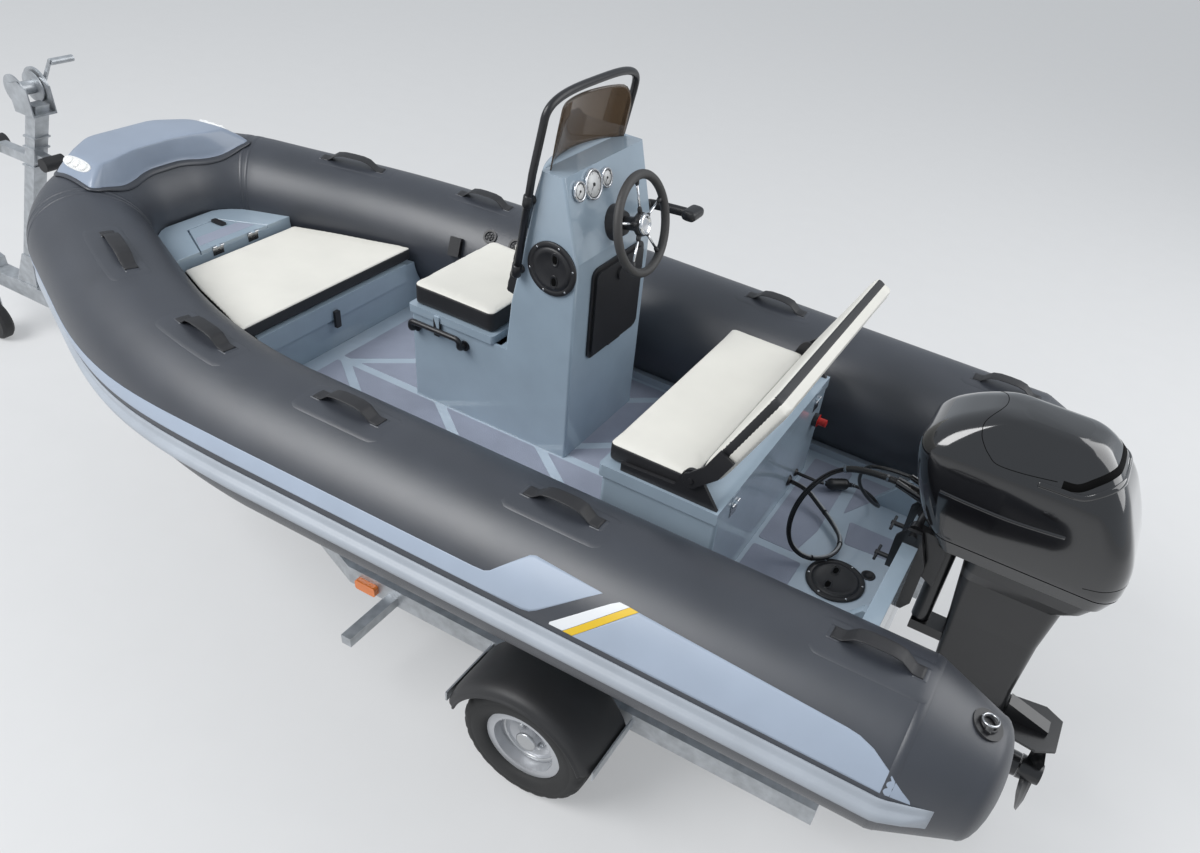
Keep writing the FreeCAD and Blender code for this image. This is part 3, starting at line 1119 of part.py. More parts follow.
strut_side = [
    (gear_x(0.04), PLATE_Z - 5.0), (gear_x(0.11), SHAFT_Z + 20.0), (gear_x(0.94), SHAFT_Z + 20.0),
    (gear_x(0.84), PLATE_Z - 80.0), (gear_x(0.69), PLATE_Z - 5.0),
]
strut = plate_xz(strut_side, -24.0, 24.0)
strut = round_edges(strut, 12.0, lambda m, e: not along(1)(m, e) and m.x > gear_x(0.12) and m.z > SHAFT_Z + 30.0)
torpedo_points = [
    (gear_x(0.0), 0.0), (gear_x(0.035), 18.0), (gear_x(0.12), 36.0), (gear_x(0.3), GEARCASE_R),
    (gear_x(0.72), GEARCASE_R), (gear_x(1.0), PROP_HUB_R - 2.0), (gear_x(1.0), 0.0),
]
torpedo_wire = Part.makePolygon([V(x, 0, r) for x, r in torpedo_points + torpedo_points[:1]])
torpedo = Part.Face(torpedo_wire).revolve(V(0, 0, 0), V(1, 0, 0), 360)
torpedo.translate(V(0, 0, SHAFT_Z))
skeg_side = [
    (gear_x(0.18), SHAFT_Z - 30.0), (gear_x(0.58), SKEG_Z), (gear_x(0.8), SKEG_Z), (gear_x(0.89), SHAFT_Z - 30.0),
]
skeg = plate_xz(skeg_side, -6.0, 6.0)
tab = plate_xz([(PLATE_AFT_X + 70.0, PLATE_Z - 8.0), (PLATE_AFT_X + 4.0, PLATE_Z - 8.0),
                (PLATE_AFT_X + 14.0, PLATE_Z - 36.0), (PLATE_AFT_X + 62.0, PLATE_Z - 36.0)], -5.0, 5.0)
PROP_SHAFT_R = 9.0
PROP_SHAFT_LENGTH = 74.0
prop_shaft = cyl((torpedo_end, 0, SHAFT_Z), (-1, 0, 0), PROP_SHAFT_R, PROP_SHAFT_LENGTH)
put("gearcase", torpedo.fuse([av_plate, rib, strut, skeg, tab, prop_shaft]))

# Propeller: hub and three twisted blades. Radius, chord, thickness
BLADE_COUNT = 3
PROP_PITCH = 330.0
BLADE_SECTIONS = [(PROP_HUB_R - 8.0, 58.0, 9.0), (95.0, 92.0, 6.0), (PROP_R, 44.0, 3.0)]
hub_start_x = torpedo_end - 5.0
hub_length = hub_start_x - PROP_END_X
prop_hub = cone((hub_start_x, 0, SHAFT_Z), (-1, 0, 0), PROP_HUB_R, PROP_HUB_R - 6.0, hub_length)


def blade_wire(radius, chord, thick):
    """Thin section of a blade, square to its radius, at the pitch angle there."""
    pitch = math.atan2(PROP_PITCH, 2.0 * math.pi * radius)
    mid_x = hub_start_x - hub_length / 2.0
    run = V(-math.sin(pitch), math.cos(pitch), 0)
    side = V(math.cos(pitch), math.sin(pitch), 0)
    centre = V(mid_x, 0, SHAFT_Z + radius)
    points = []
    for c, t in ((-0.5, 0.0), (-0.2, 0.5), (0.2, 0.5), (0.5, 0.0), (0.2, -0.5), (-0.2, -0.5), (-0.5, 0.0)):
        points.append(centre + run * (chord * c) + side * (thick * t))
    return Part.makePolygon(points)


blade = Part.makeLoft([blade_wire(*s) for s in BLADE_SECTIONS], True, True)
blades = []
for i in range(BLADE_COUNT):
    turned = blade.copy()
    turned.rotate(V(0, 0, SHAFT_Z), V(1, 0, 0), 360.0 * i / BLADE_COUNT)
    blades.append(turned)
propeller = prop_hub.fuse(blades)
propeller = propeller.cut(cyl((torpedo_end, 0, SHAFT_Z), (-1, 0, 0), PROP_SHAFT_R + PIN_FIT, PROP_SHAFT_LENGTH + 20.0))
put("propeller", propeller)

# Trailer side rails: straight beside the hull, then in to the drawbar, with an outrigger
rail_low_z = RAIL_TOP_Z - RAIL_HEIGHT
rail_out = RAIL_Y + RAIL_WIDTH / 2.0
rail_in = RAIL_Y - RAIL_WIDTH / 2.0
rail_plan = [
    (RAIL_AFT_X, rail_out), (RAIL_BEND_X + 6.0, rail_out), (RAIL_MEET_X, BEAM_HALF + SEAT_GAP + RAIL_WIDTH),
    (RAIL_MEET_X, BEAM_HALF + SEAT_GAP), (RAIL_MEET_X - 70.0, BEAM_HALF + SEAT_GAP),
    (RAIL_BEND_X - 6.0, rail_in), (RAIL_AFT_X, rail_in),
]
rail = plate_xy(rail_plan, rail_low_z, RAIL_TOP_Z)
OUTRIGGER_X = 350.0
outrigger = box(OUTRIGGER_X - 20.0, OUTRIGGER_X + 20.0, rail_in, 850.0, rail_low_z + 5.0, rail_low_z + 45.0)
side_rail = rail.fuse(outrigger)

# Drawbar down the middle
DRAWBAR_AFT_X = 1040.0 + SEAT_GAP
DRAWBAR_FWD_X = HITCH_END_X - 190.0
drawbar = box(DRAWBAR_AFT_X, DRAWBAR_FWD_X, -BEAM_HALF, BEAM_HALF, rail_low_z, RAIL_TOP_Z)
put("drawbar", drawbar)

# Cross beams between the rails: x of the beam and of the keel roller that it carries
ROLLER_R = 44.0
ROLLER_HALF = 55.0
BEAM_X = [-1180.0, 450.0]
TIE_BEAM_X = 1015.0
TIE_KEEL_Z = KEEL_Z + 22.0
BEAM_WIDTH = 50.0
beams = []
rollers = []


def roller_stand(x, keel_z):
    """Fork of two plates and the roller between them, just under the keel."""
    axis_z = keel_z - ROLLER_R - SEAT_GAP
    stand = []
    for y0 in (ROLLER_HALF + 3.0, -ROLLER_HALF - 11.0):
        stand.append(box(x - 22.0, x + 22.0, y0, y0 + 8.0, RAIL_TOP_Z - 2.0, axis_z + 16.0))
    pin = cyl((x, -ROLLER_HALF - 11.0, axis_z), (0, 1, 0), 8.0, 2.0 * ROLLER_HALF + 22.0)
    roller = cyl((x, -ROLLER_HALF, axis_z), (0, 1, 0), ROLLER_R, 2.0 * ROLLER_HALF)
    waist = Part.makeTorus(ROLLER_R + 60.0, 66.0, V(x, 0, axis_z), V(0, 1, 0))
    roller = roller.cut(waist)
    return stand + [pin], roller.cut(cyl((x, -100.0, axis_z), (0, 1, 0), 8.0 + SEAT_GAP, 200.0))


for x in BEAM_X:
    beam = box(x - BEAM_WIDTH / 2.0, x + BEAM_WIDTH / 2.0, -rail_in + SEAT_GAP, rail_in - SEAT_GAP,
               rail_low_z, RAIL_TOP_Z)
    stand, roller = roller_stand(x, KEEL_Z + 6.0)
    beams.append(beam.fuse(stand))
    rollers.append(roller)


def rail_inner_y(x):
    """Inner face of a side rail where it runs in to the drawbar."""
    x0 = RAIL_BEND_X - 6.0
    x1 = RAIL_MEET_X - 70.0
    return rail_in + (BEAM_HALF + SEAT_GAP - rail_in) * (x - x0) / (x1 - x0)


# Tie beam between the converging rails, at the drawbar's aft end
tie_aft = TIE_BEAM_X - BEAM_WIDTH / 2.0
tie_fwd = TIE_BEAM_X + BEAM_WIDTH / 2.0
tie_plan = [(tie_aft, rail_inner_y(tie_aft) - SEAT_GAP), (tie_fwd, rail_inner_y(tie_fwd) - SEAT_GAP)]
tie = plate_xy(tie_plan + [(x, -y) for x, y in reversed(tie_plan)], rail_low_z, RAIL_TOP_Z)
stand, roller = roller_stand(TIE_BEAM_X, TIE_KEEL_Z)
beams.append(tie.fuse(stand))
rollers.append(roller)

# Padded bunks under the hull on both sides, each on two posts
deadrise = (CHINE_Z - KEEL_Z) / CHINE_Y
BUNK_IN_Y = 300.0
BUNK_OUT_Y = 365.0
BUNK_THICK = 42.0
BUNK_OVER = 45.0
top_in = KEEL_Z + deadrise * BUNK_IN_Y - SEAT_GAP
top_out = KEEL_Z + deadrise * BUNK_OUT_Y - SEAT_GAP
bunk_section = [(BUNK_IN_Y, top_in), (BUNK_OUT_Y, top_out), (BUNK_OUT_Y, top_out - BUNK_THICK),
                (BUNK_IN_Y, top_in - BUNK_THICK)]
bunk = plate_yz(bunk_section, BEAM_X[0] - BUNK_OVER, BEAM_X[1] + BUNK_OVER)
post_section = [(BUNK_IN_Y + 12.0, RAIL_TOP_Z + SEAT_GAP), (BUNK_OUT_Y - 12.0, RAIL_TOP_Z + SEAT_GAP),
                (BUNK_OUT_Y - 12.0, top_out - 12.0 * deadrise - BUNK_THICK - SEAT_GAP),
                (BUNK_IN_Y + 12.0, top_in + 12.0 * deadrise - BUNK_THICK - SEAT_GAP)]
posts = []
for x in BEAM_X:
    posts.extend(both(plate_yz(post_section, x - 20.0, x + 20.0)))
put("cross_beams", *beams, *posts)

# Axle beam with trailing arms and stub shafts
WHEEL_Z0 = TYRE_R - FLOOR_HEIGHT
AXLE_BEAM_X = AXLE_X + 110.0
STUB_R = 15.0
axle_top = rail_low_z - SEAT_GAP
axle_beam = box(AXLE_BEAM_X - 30.0, AXLE_BEAM_X + 30.0, -rail_out, rail_out, axle_top - 55.0, axle_top)
arm_side = [
    (AXLE_BEAM_X + 34.0, axle_top), (AXLE_BEAM_X + 34.0, axle_top - 60.0), (AXLE_X - 30.0, WHEEL_Z0 - 34.0),
    (AXLE_X - 36.0, WHEEL_Z0 + 10.0), (AXLE_X - 10.0, WHEEL_Z0 + 32.0), (AXLE_BEAM_X - 34.0, axle_top),
]
arm = plate_xz(arm_side, rail_out, rail_out + 22.0)
stub = cyl((AXLE_X, rail_out, WHEEL_Z0), (0, 1, 0), STUB_R, TRACK_HALF + 42.0 - rail_out)
drum_back = cyl((AXLE_X, rail_out + 20.0, WHEEL_Z0), (0, 1, 0), 60.0, 24.0)
axle_parts = [arm, stub, drum_back]
put("axle", axle_beam.fuse(axle_parts + [mirror(s) for s in axle_parts]))


def spin_y(points, centre):
    """Turned solid about a crosswise line through a centre; points are (radius, y)."""
    wire = Part.makePolygon([V(0, y, r) for r, y in points + points[:1]])
    solid = Part.Face(wire).revolve(V(0, 0, 0), V(0, 1, 0), 360)
    solid.translate(V(centre[0], 0, centre[1]))
    return solid


# Wheels. The rim's dish faces outboard; rows are radius and distance from the middle plane
half = TYRE_WIDTH / 2.0
RIM_ROWS = [
    (STUB_R + PIN_FIT, 8.0), (60.0, 8.0), (84.0, 22.0), (RIM_R - 14.0, 22.0), (RIM_R - 14.0, -half + 22.0),
    (RIM_R + 14.0, -half + 22.0), (RIM_R + 14.0, -half + 27.0), (RIM_R - 2.0, -half + 30.0),
    (RIM_R - 2.0, half - 30.0), (RIM_R + 14.0, half - 27.0), (RIM_R + 14.0, half - 22.0),
    (RIM_R - 14.0, half - 22.0), (RIM_R - 14.0, 32.0), (80.0, 32.0), (56.0, 18.0), (36.0, 18.0), (36.0, 54.0),
    (22.0, 60.0), (STUB_R + PIN_FIT, 60.0),
]
TYRE_HALF_ROWS = [
    (RIM_R - 2.0 + SEAT_GAP, half - 31.0), (RIM_R + 14.0 + SEAT_GAP, half - 28.0), (RIM_R + 15.0, half - 24.0),
    (RIM_R + 20.0, half - 8.0), (RIM_R + 54.0, half), (TYRE_R - 18.0, half - 6.0), (TYRE_R, half - 22.0),
]
TYRE_ROWS = TYRE_HALF_ROWS + [(r, -y) for r, y in reversed(TYRE_HALF_ROWS)]
for side, sign in (("port", 1.0), ("stbd", -1.0)):
    rim = spin_y([(r, sign * y) for r, y in RIM_ROWS], (AXLE_X, WHEEL_Z0))
    tyre = spin_y(TYRE_ROWS, (AXLE_X, WHEEL_Z0))
    studs = []
    for i in range(4):
        a = math.pi / 2.0 * i + math.pi / 4.0
        studs.append(cyl((AXLE_X + 50.0 * math.cos(a), sign * 16.0, WHEEL_Z0 + 50.0 * math.sin(a)),
                         (0, sign, 0), 9.0, 14.0))
    rim = rim.fuse(studs)
    rim.translate(V(0, sign * TRACK_HALF, 0))
    tyre.translate(V(0, sign * TRACK_HALF, 0))
    put("rim_" + side, rim)
    put("tyre_" + side, tyre)

# Mudguards: half round shells with an outer lip, each on two brackets from the rail
GUARD_IN_Y = TRACK_HALF - 112.0
GUARD_OUT_Y = TRACK_HALF + 128.0
GUARD_END_Z = WHEEL_Z0 + 95.0
guard_outer = cyl((AXLE_X, GUARD_IN_Y, WHEEL_Z0), (0, 1, 0), GUARD_R, GUARD_OUT_Y - GUARD_IN_Y)
guard_inner = cyl((AXLE_X, GUARD_IN_Y - 1.0, WHEEL_Z0), (0, 1, 0), GUARD_R - GUARD_THICK,
                  GUARD_OUT_Y - GUARD_IN_Y - GUARD_THICK + 1.0)
guard_open = cyl((AXLE_X, GUARD_IN_Y - 1.0, WHEEL_Z0), (0, 1, 0), GUARD_R - 42.0,
                 GUARD_OUT_Y - GUARD_IN_Y + 2.0)
guard = guard_outer.cut(guard_inner).cut(guard_open)
guard = guard.cut(box(AXLE_X - 400.0, AXLE_X + 400.0, GUARD_IN_Y - 5.0, GUARD_OUT_Y + 5.0,
                      WHEEL_Z0 - 400.0, GUARD_END_Z))
put("mudguards", *both(guard))
guard_reach = math.sqrt(GUARD_R ** 2 - (GUARD_END_Z - WHEEL_Z0 + 12.0) ** 2)
brackets = []
for direction in (1.0, -1.0):
    x0 = AXLE_X + direction * (guard_reach + 4.0)
    x1 = x0 + direction * 6.0
    brackets.append(box(min(x0, x1), max(x0, x1), rail_out - 1.0, GUARD_OUT_Y - 20.0,
                        GUARD_END_Z - 20.0, GUARD_END_Z + 20.0))
for piece in brackets:
    side_rail = side_rail.fuse(piece.cut(guard))
put("side_rails", *both(side_rail))

# Amber side lamps on the outer faces of the rails
MARKER_X = 460.0
marker = soft_block(MARKER_X - 45.0, MARKER_X + 45.0, rail_out + SEAT_GAP, rail_out + 22.0,
                    rail_low_z + 14.0, rail_low_z + 56.0, 9.0, 1)
put("side_markers", *both(marker))

# Winch post leaning aft from the drawbar, with the snubber, a forward arm and the winch
POST_HALF = 30.0
POST_LEAN = (POST_FOOT_X - POST_TOP_X) / (POST_TOP_Z - RAIL_TOP_Z)
post_low_z = RAIL_TOP_Z + SEAT_GAP


def post_x(z):
    """Middle of the leaning post at one height."""
    return POST_TOP_X + (POST_TOP_Z - z) * POST_LEAN


def post_level(z0, z1, aft, fwd, half_y):
    """Block that leans with the post, measured from its middle line."""
    points = [(post_x(z0) + aft, z0), (post_x(z0) + fwd, z0), (post_x(z1) + fwd, z1), (post_x(z1) + aft, z1)]
    return plate_xz(points, -half_y, half_y)


post = post_level(post_low_z, POST_TOP_Z, -POST_HALF, POST_HALF, POST_HALF)
foot = box(POST_FOOT_X - 85.0, POST_FOOT_X + 85.0, -BEAM_HALF, BEAM_HALF, post_low_z, post_low_z + 10.0)
post_parts = [foot]
for y in (-POST_HALF - 6.0, POST_HALF):
    gusset = [(POST_FOOT_X - 80.0, post_low_z), (POST_FOOT_X + 60.0, post_low_z),
              (post_x(-250.0) + 34.0, -250.0), (post_x(-250.0) - 34.0, -250.0)]
    post_parts.append(plate_xz(gusset, y, y + 6.0))
SNUB_Z = 282.0
FRONT_ARM_Z = 264.0
ROLL_R = 28.0
snub_x = post_x(SNUB_Z) - 75.0
front_x = post_x(FRONT_ARM_Z) + 215.0
post_parts.append(box(snub_x, post_x(SNUB_Z), -20.0, 20.0, SNUB_Z - 20.0, SNUB_Z + 20.0))
post_parts.append(box(post_x(FRONT_ARM_Z), front_x, -22.0, 22.0, FRONT_ARM_Z - 20.0, FRONT_ARM_Z + 20.0))
for z in (SNUB_Z - 45.0, SNUB_Z + 45.0, SNUB_Z + 95.0):
    post_parts.append(post_level(z, z + 8.0, -POST_HALF - 6.0, POST_HALF + 6.0, POST_HALF + 6.0))
winch_x = post_x(POST_TOP_Z) + 58.0
winch_z = POST_TOP_Z + 46.0
CHEEK_IN = 46.0
winch_side = [(winch_x - 90.0, POST_TOP_Z - 40.0), (winch_x + 20.0, POST_TOP_Z - 40.0), (winch_x + 24.0, winch_z + 24.0),
              (winch_x - 40.0, winch_z + 42.0), (winch_x - 90.0, winch_z + 20.0)]
for y in (-CHEEK_IN - 5.0, CHEEK_IN):
    post_parts.append(plate_xz(winch_side, y, y + 5.0))
post_parts.append(box(winch_x - 90.0, winch_x + 20.0, -CHEEK_IN - 1.0, CHEEK_IN + 1.0, POST_TOP_Z - 40.0, POST_TOP_Z - 32.0))
post_parts.append(cyl((winch_x, -CHEEK_IN - 1.0, winch_z), (0, 1, 0), 26.0, 2.0 * CHEEK_IN + 2.0))
for y in (-CHEEK_IN + 4.0, CHEEK_IN - 10.0):
    post_parts.append(cyl((winch_x, y, winch_z), (0, 1, 0), 60.0, 6.0))
post_parts.append(cyl((winch_x, -CHEEK_IN - 34.0, winch_z), (0, 1, 0), 9.0, 40.0))
post_parts.append(cyl((winch_x, -CHEEK_IN - 14.0, winch_z), (0, 1, 0), 72.0, 9.0))
crank_top = winch_z + 120.0
post_parts.append(plate_xz([(winch_x - 10.0, winch_z - 10.0), (winch_x + 10.0, winch_z - 10.0),
                            (winch_x - 90.0, crank_top), (winch_x - 106.0, crank_top)],
                           -CHEEK_IN - 34.0, -CHEEK_IN - 26.0))
post_parts.append(cyl((winch_x - 96.0, -CHEEK_IN - 30.0, crank_top - 10.0), (0, -1, 0), 13.0, 95.0))
put("winch_post", post.fuse(post_parts))
snub_roller = cyl((snub_x - ROLL_R - SEAT_GAP, -46.0, SNUB_Z), (0, 1, 0), ROLL_R, 92.0)
front_roller = cyl((front_x + 36.0 + SEAT_GAP, -40.0, FRONT_ARM_Z), (0, 1, 0), 36.0, 80.0)
put("rubber_supports", *both(bunk), *rollers, snub_roller, front_roller)

# Ball coupling on the front of the drawbar
SOCKET_X = HITCH_END_X - 50.0
SOCKET_LENGTH = 24.0
head = round_edges(box(SOCKET_X - 48.0, HITCH_END_X, -38.0, 38.0, COUPLING_Z - 20.0, COUPLING_Z + 42.0), 22.0,
                   lambda m, e: along(2)(m, e) and m.x > SOCKET_X)
neck = plate_xz([(SOCKET_X - 46.0, COUPLING_Z + 38.0), (SOCKET_X - 46.0, COUPLING_Z - 16.0),
                 (DRAWBAR_FWD_X - 10.0, RAIL_TOP_Z + SEAT_GAP), (DRAWBAR_FWD_X - 150.0, RAIL_TOP_Z + SEAT_GAP),
                 (DRAWBAR_FWD_X - 150.0, RAIL_TOP_Z + 46.0)], -34.0, 34.0)
lock_handle = plate_xz([(SOCKET_X + 10.0, COUPLING_Z + 40.0), (SOCKET_X - 70.0, COUPLING_Z + 60.0),
                        (SOCKET_X - 70.0, COUPLING_Z + 74.0), (SOCKET_X + 20.0, COUPLING_Z + 58.0)], -14.0, 14.0)
coupling = head.fuse([neck, lock_handle])
socket = cyl((SOCKET_X, 0, COUPLING_Z - 21.0), (0, 0, 1), BALL_R, SOCKET_LENGTH + 1.0)
dome = Part.makeSphere(BALL_R, V(SOCKET_X, 0, COUPLING_Z - 20.0 + SOCKET_LENGTH))
coupling = coupling.cut(socket.fuse(dome))
put("hitch_coupling", coupling)

# Jockey wheel: leg clamped to the drawbar, a fork that swivels in it and the wheel
LEG_R = 25.0
LEG_LOW_Z = -540.0
LEG_TOP_Z = 60.0
STEM_R = 18.0
leg_tube = cyl((JOCKEY_X, JOCKEY_Y, LEG_LOW_Z), (0, 0, 1), LEG_R, LEG_TOP_Z - LEG_LOW_Z)
clamp_block = box(JOCKEY_X - 36.0, JOCKEY_X + 36.0, BEAM_HALF + SEAT_GAP, JOCKEY_Y + 12.0,
                  rail_low_z + 10.0, RAIL_TOP_Z - 10.0)
crank_head = cyl((JOCKEY_X, JOCKEY_Y, LEG_TOP_Z - 2.0), (0, 0, 1), 20.0, 26.0)
handle_arm = box(JOCKEY_X - 8.0, JOCKEY_X + 8.0, JOCKEY_Y, JOCKEY_Y + 130.0, LEG_TOP_Z + 22.0, LEG_TOP_Z + 30.0)
handle_grip = cyl((JOCKEY_X, JOCKEY_Y + 122.0, LEG_TOP_Z + 24.0), (0, 0, 1), 11.0, 80.0)
jockey_leg = leg_tube.fuse([clamp_block, crank_head, handle_arm, handle_grip])
jockey_leg = jockey_leg.cut(cyl((JOCKEY_X, JOCKEY_Y, LEG_LOW_Z - 1.0), (0, 0, 1), STEM_R + PIN_FIT, 321.0))
put("jockey_leg", jockey_leg)
JOCKEY_AXLE_Z = JOCKEY_R - FLOOR_HEIGHT
FORK_IN = 36.0
FORK_THICK = 5.0
crown_z = JOCKEY_AXLE_Z + JOCKEY_R + RUN_GAP
fork_x = JOCKEY_X - JOCKEY_TRAIL
stem = cyl((JOCKEY_X, JOCKEY_Y, crown_z), (0, 0, 1), STEM_R, LEG_LOW_Z + 318.0 - crown_z)
crown = box(fork_x - 30.0, JOCKEY_X + 26.0, JOCKEY_Y - FORK_IN - FORK_THICK, JOCKEY_Y + FORK_IN + FORK_THICK,
            crown_z, crown_z + 8.0)
fork_parts = [crown]
fork_side = [
    (fork_x - 30.0, crown_z + 8.0), (JOCKEY_X + 26.0, crown_z + 8.0), (fork_x + 16.0, JOCKEY_AXLE_Z - 16.0),
    (fork_x - 16.0, JOCKEY_AXLE_Z - 16.0),
]
for y in (JOCKEY_Y - FORK_IN - FORK_THICK, JOCKEY_Y + FORK_IN):
    fork_parts.append(plate_xz(fork_side, y, y + FORK_THICK))
fork_parts.append(cyl((fork_x, JOCKEY_Y - FORK_IN - 2.0, JOCKEY_AXLE_Z), (0, 1, 0), 8.0, 2.0 * FORK_IN + 4.0))
put("jockey_fork", stem.fuse(fork_parts))
jockey_half = 30.0
jockey_wheel = spin_y([(8.0 + PIN_FIT, -jockey_half), (60.0, -jockey_half), (JOCKEY_R - 10.0, -jockey_half),
                       (JOCKEY_R, 12.0 - jockey_half), (JOCKEY_R, jockey_half - 12.0),
                       (JOCKEY_R - 10.0, jockey_half), (60.0, jockey_half), (8.0 + PIN_FIT, jockey_half)],
                      (fork_x, JOCKEY_AXLE_Z))
jockey_wheel.translate(V(0, JOCKEY_Y, 0))
put("jockey_wheel", jockey_wheel)


# Free cables. A route's points are joined by runs and arcs as large as the runs allow
def cord_wire(points):
    """Tangent line and arc path through a route; prints its radii."""
    points = [V(*p) for p in points]
    edges = []
    start = points[0]
    radii = []
    for i in range(1, len(points) - 1):
        before = (points[i] - points[i - 1]).Length
        after = (points[i + 1] - points[i]).Length
        into = (points[i] - points[i - 1]).normalize()
        out = (points[i + 1] - points[i]).normalize()
        turn = math.acos(max(-1.0, min(1.0, into.dot(out))))
        cut = 0.45 * min(before, after)
        bend = cut / math.tan(turn / 2.0)
        radii.append(round(bend))
        a = points[i] - into * cut
        b = points[i] + out * cut
        middle = points[i] + (out - into).normalize() * (bend / math.cos(turn / 2.0) - bend)
        edges.append(Part.LineSegment(start, a).toShape())
        edges.append(Part.Arc(a, middle, b).toShape())
        start = b
    edges.append(Part.LineSegment(start, points[-1]).toShape())
    print("bend radii", radii)
    return Part.Wire(edges)


def cord(points, radius):
    """Plain round cable along a route."""
    wire = cord_wire(points)
    direction = wire.Edges[0].tangentAt(wire.Edges[0].FirstParameter)
    circle = Part.Wire(Part.Circle(V(*points[0]), direction, radius).toShape())
    return wire.makePipeShell([circle], True, False)


CABLE_R = 8.0
CABLE_ROUTE = [
    BOOT_END, (-1030.0, BOOT_Y, BOOT_END[2]), (-935.0, -8.0, 352.0),
    (-868.0, 22.0, 262.0), (-842.0, 58.0, 158.0), (-862.0, 84.0, 68.0), (-930.0, 78.0, 24.0),
    (-1004.0, 20.0, 24.0), (-1010.0, -76.0, 25.0), (-946.0, -150.0, 26.0), (-868.0, -204.0, 36.0),
    (-806.0, -230.0, 60.0), (HELM_AFT_X - 8.0, -230.0, 60.0),
]
put("control_cables", cord(CABLE_ROUTE, CABLE_R))

# Fuel hose from the seat locker to the engine, with the primer bulb threaded on it
HOSE_R = 6.0
BULB_R = 22.0
HOSE_ROUTE = [
    (HELM_AFT_X - 8.0, -300.0, 52.0), (-792.0, -300.0, 52.0), (-842.0, -322.0, 34.0), (-936.0, -396.0, 32.0),
    (-1006.0, -384.0, 26.0), (-1056.0, -322.0, 40.0), (-1062.0, -240.0, 96.0), (-1030.0, -160.0, 172.0),
    (-985.0, -108.0, 262.0), (-1010.0, HOSE_Y - 4.0, TAIL_END[2] - 4.0), (TAIL_END[0] + SEAT_GAP, HOSE_Y, TAIL_END[2]),
]
BULB_HALF = 44.0
bulb_a = V(*HOSE_ROUTE[2])
bulb_b = V(*HOSE_ROUTE[3])
bulb_axis = (bulb_b - bulb_a).normalize()
bulb_mid = (bulb_a + bulb_b) * 0.5
hose = cord(HOSE_ROUTE, HOSE_R)
for side in (1.0, -1.0):
    half_bulb = Part.makeCylinder(BULB_R, BULB_HALF - 16.0, bulb_mid, bulb_axis * side)
    tail = Part.makeCone(BULB_R, HOSE_R + 3.0, 16.0, bulb_mid + bulb_axis * (side * (BULB_HALF - 16.0)),
                         bulb_axis * side)
    hose = hose.fuse([half_bulb, tail])
put("fuel_line", hose)
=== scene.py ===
import json
import math

import bmesh
import bpy
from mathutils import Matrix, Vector
from mathutils.bvhtree import BVHTree


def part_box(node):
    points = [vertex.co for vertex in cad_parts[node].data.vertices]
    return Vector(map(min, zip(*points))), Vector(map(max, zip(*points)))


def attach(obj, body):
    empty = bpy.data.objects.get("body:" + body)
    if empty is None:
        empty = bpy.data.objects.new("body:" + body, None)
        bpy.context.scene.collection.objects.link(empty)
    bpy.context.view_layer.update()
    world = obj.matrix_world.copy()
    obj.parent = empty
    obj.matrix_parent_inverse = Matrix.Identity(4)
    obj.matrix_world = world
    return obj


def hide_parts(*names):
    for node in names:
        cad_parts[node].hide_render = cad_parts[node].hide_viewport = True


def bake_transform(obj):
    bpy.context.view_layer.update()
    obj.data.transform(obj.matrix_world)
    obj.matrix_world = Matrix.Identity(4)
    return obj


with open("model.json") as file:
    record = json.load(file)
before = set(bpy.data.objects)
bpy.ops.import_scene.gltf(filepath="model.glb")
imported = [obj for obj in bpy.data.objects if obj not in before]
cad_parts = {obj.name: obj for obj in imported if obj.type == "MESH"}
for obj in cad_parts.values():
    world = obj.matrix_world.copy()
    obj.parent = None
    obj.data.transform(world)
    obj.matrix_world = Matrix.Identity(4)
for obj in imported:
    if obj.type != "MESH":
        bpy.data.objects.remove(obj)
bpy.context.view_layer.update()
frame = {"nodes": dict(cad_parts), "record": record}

# Rigid inflatable boat on its road trailer. Lengths are in metres.
# Places measured on the boat use the boat's own frame, x forward from the aft foot of
# the console, y to port and z up from the cockpit floor; BOAT moves them to the ground frame.
BOAT = Vector((-0.8725, 0.0, 0.785))
NODES = frame["nodes"]
SIDES = (1.0, -1.0)

# Camera of the photograph
CAMERA_AT = Vector((-1.3636, 2.3710, 2.0598)) + BOAT
CAMERA_TURN = (50.137, -7.5953, -152.3104)
FOCAL_LENGTH = 28.057
SENSOR_WIDTH = 36.0
CAMERA_SHIFT = (-0.0667, 0.0624)


def add_camera():
    data = bpy.data.cameras.new("camera")
    data.lens = FOCAL_LENGTH
    data.sensor_width = SENSOR_WIDTH
    data.shift_x, data.shift_y = CAMERA_SHIFT
    data.clip_end = 200.0
    camera = bpy.data.objects.new("camera", data)
    camera.location = CAMERA_AT
    camera.rotation_euler = [math.radians(a) for a in CAMERA_TURN]
    bpy.context.scene.collection.objects.link(camera)
    bpy.context.scene.camera = camera


add_camera()


def boat(x, y, z):
    """Point of the boat's own frame in the ground frame."""
    return Vector((x, y, z)) + BOAT


# Materials. Each has a colour, a soft mottle over it, a fine grain as bump and a roughness that varies
GRAINS = {
    "noise": ("ShaderNodeTexNoise", {"Detail": 4.0, "Roughness": 0.6}),
    "cells": ("ShaderNodeTexVoronoi", {}),
}
GRAIN_DEPTH = 0.0006
ROUGH_SPREAD = 0.06


def link(mat, a, out, b, into):
    mat.node_tree.links.new(a.outputs[out], b.inputs[into])


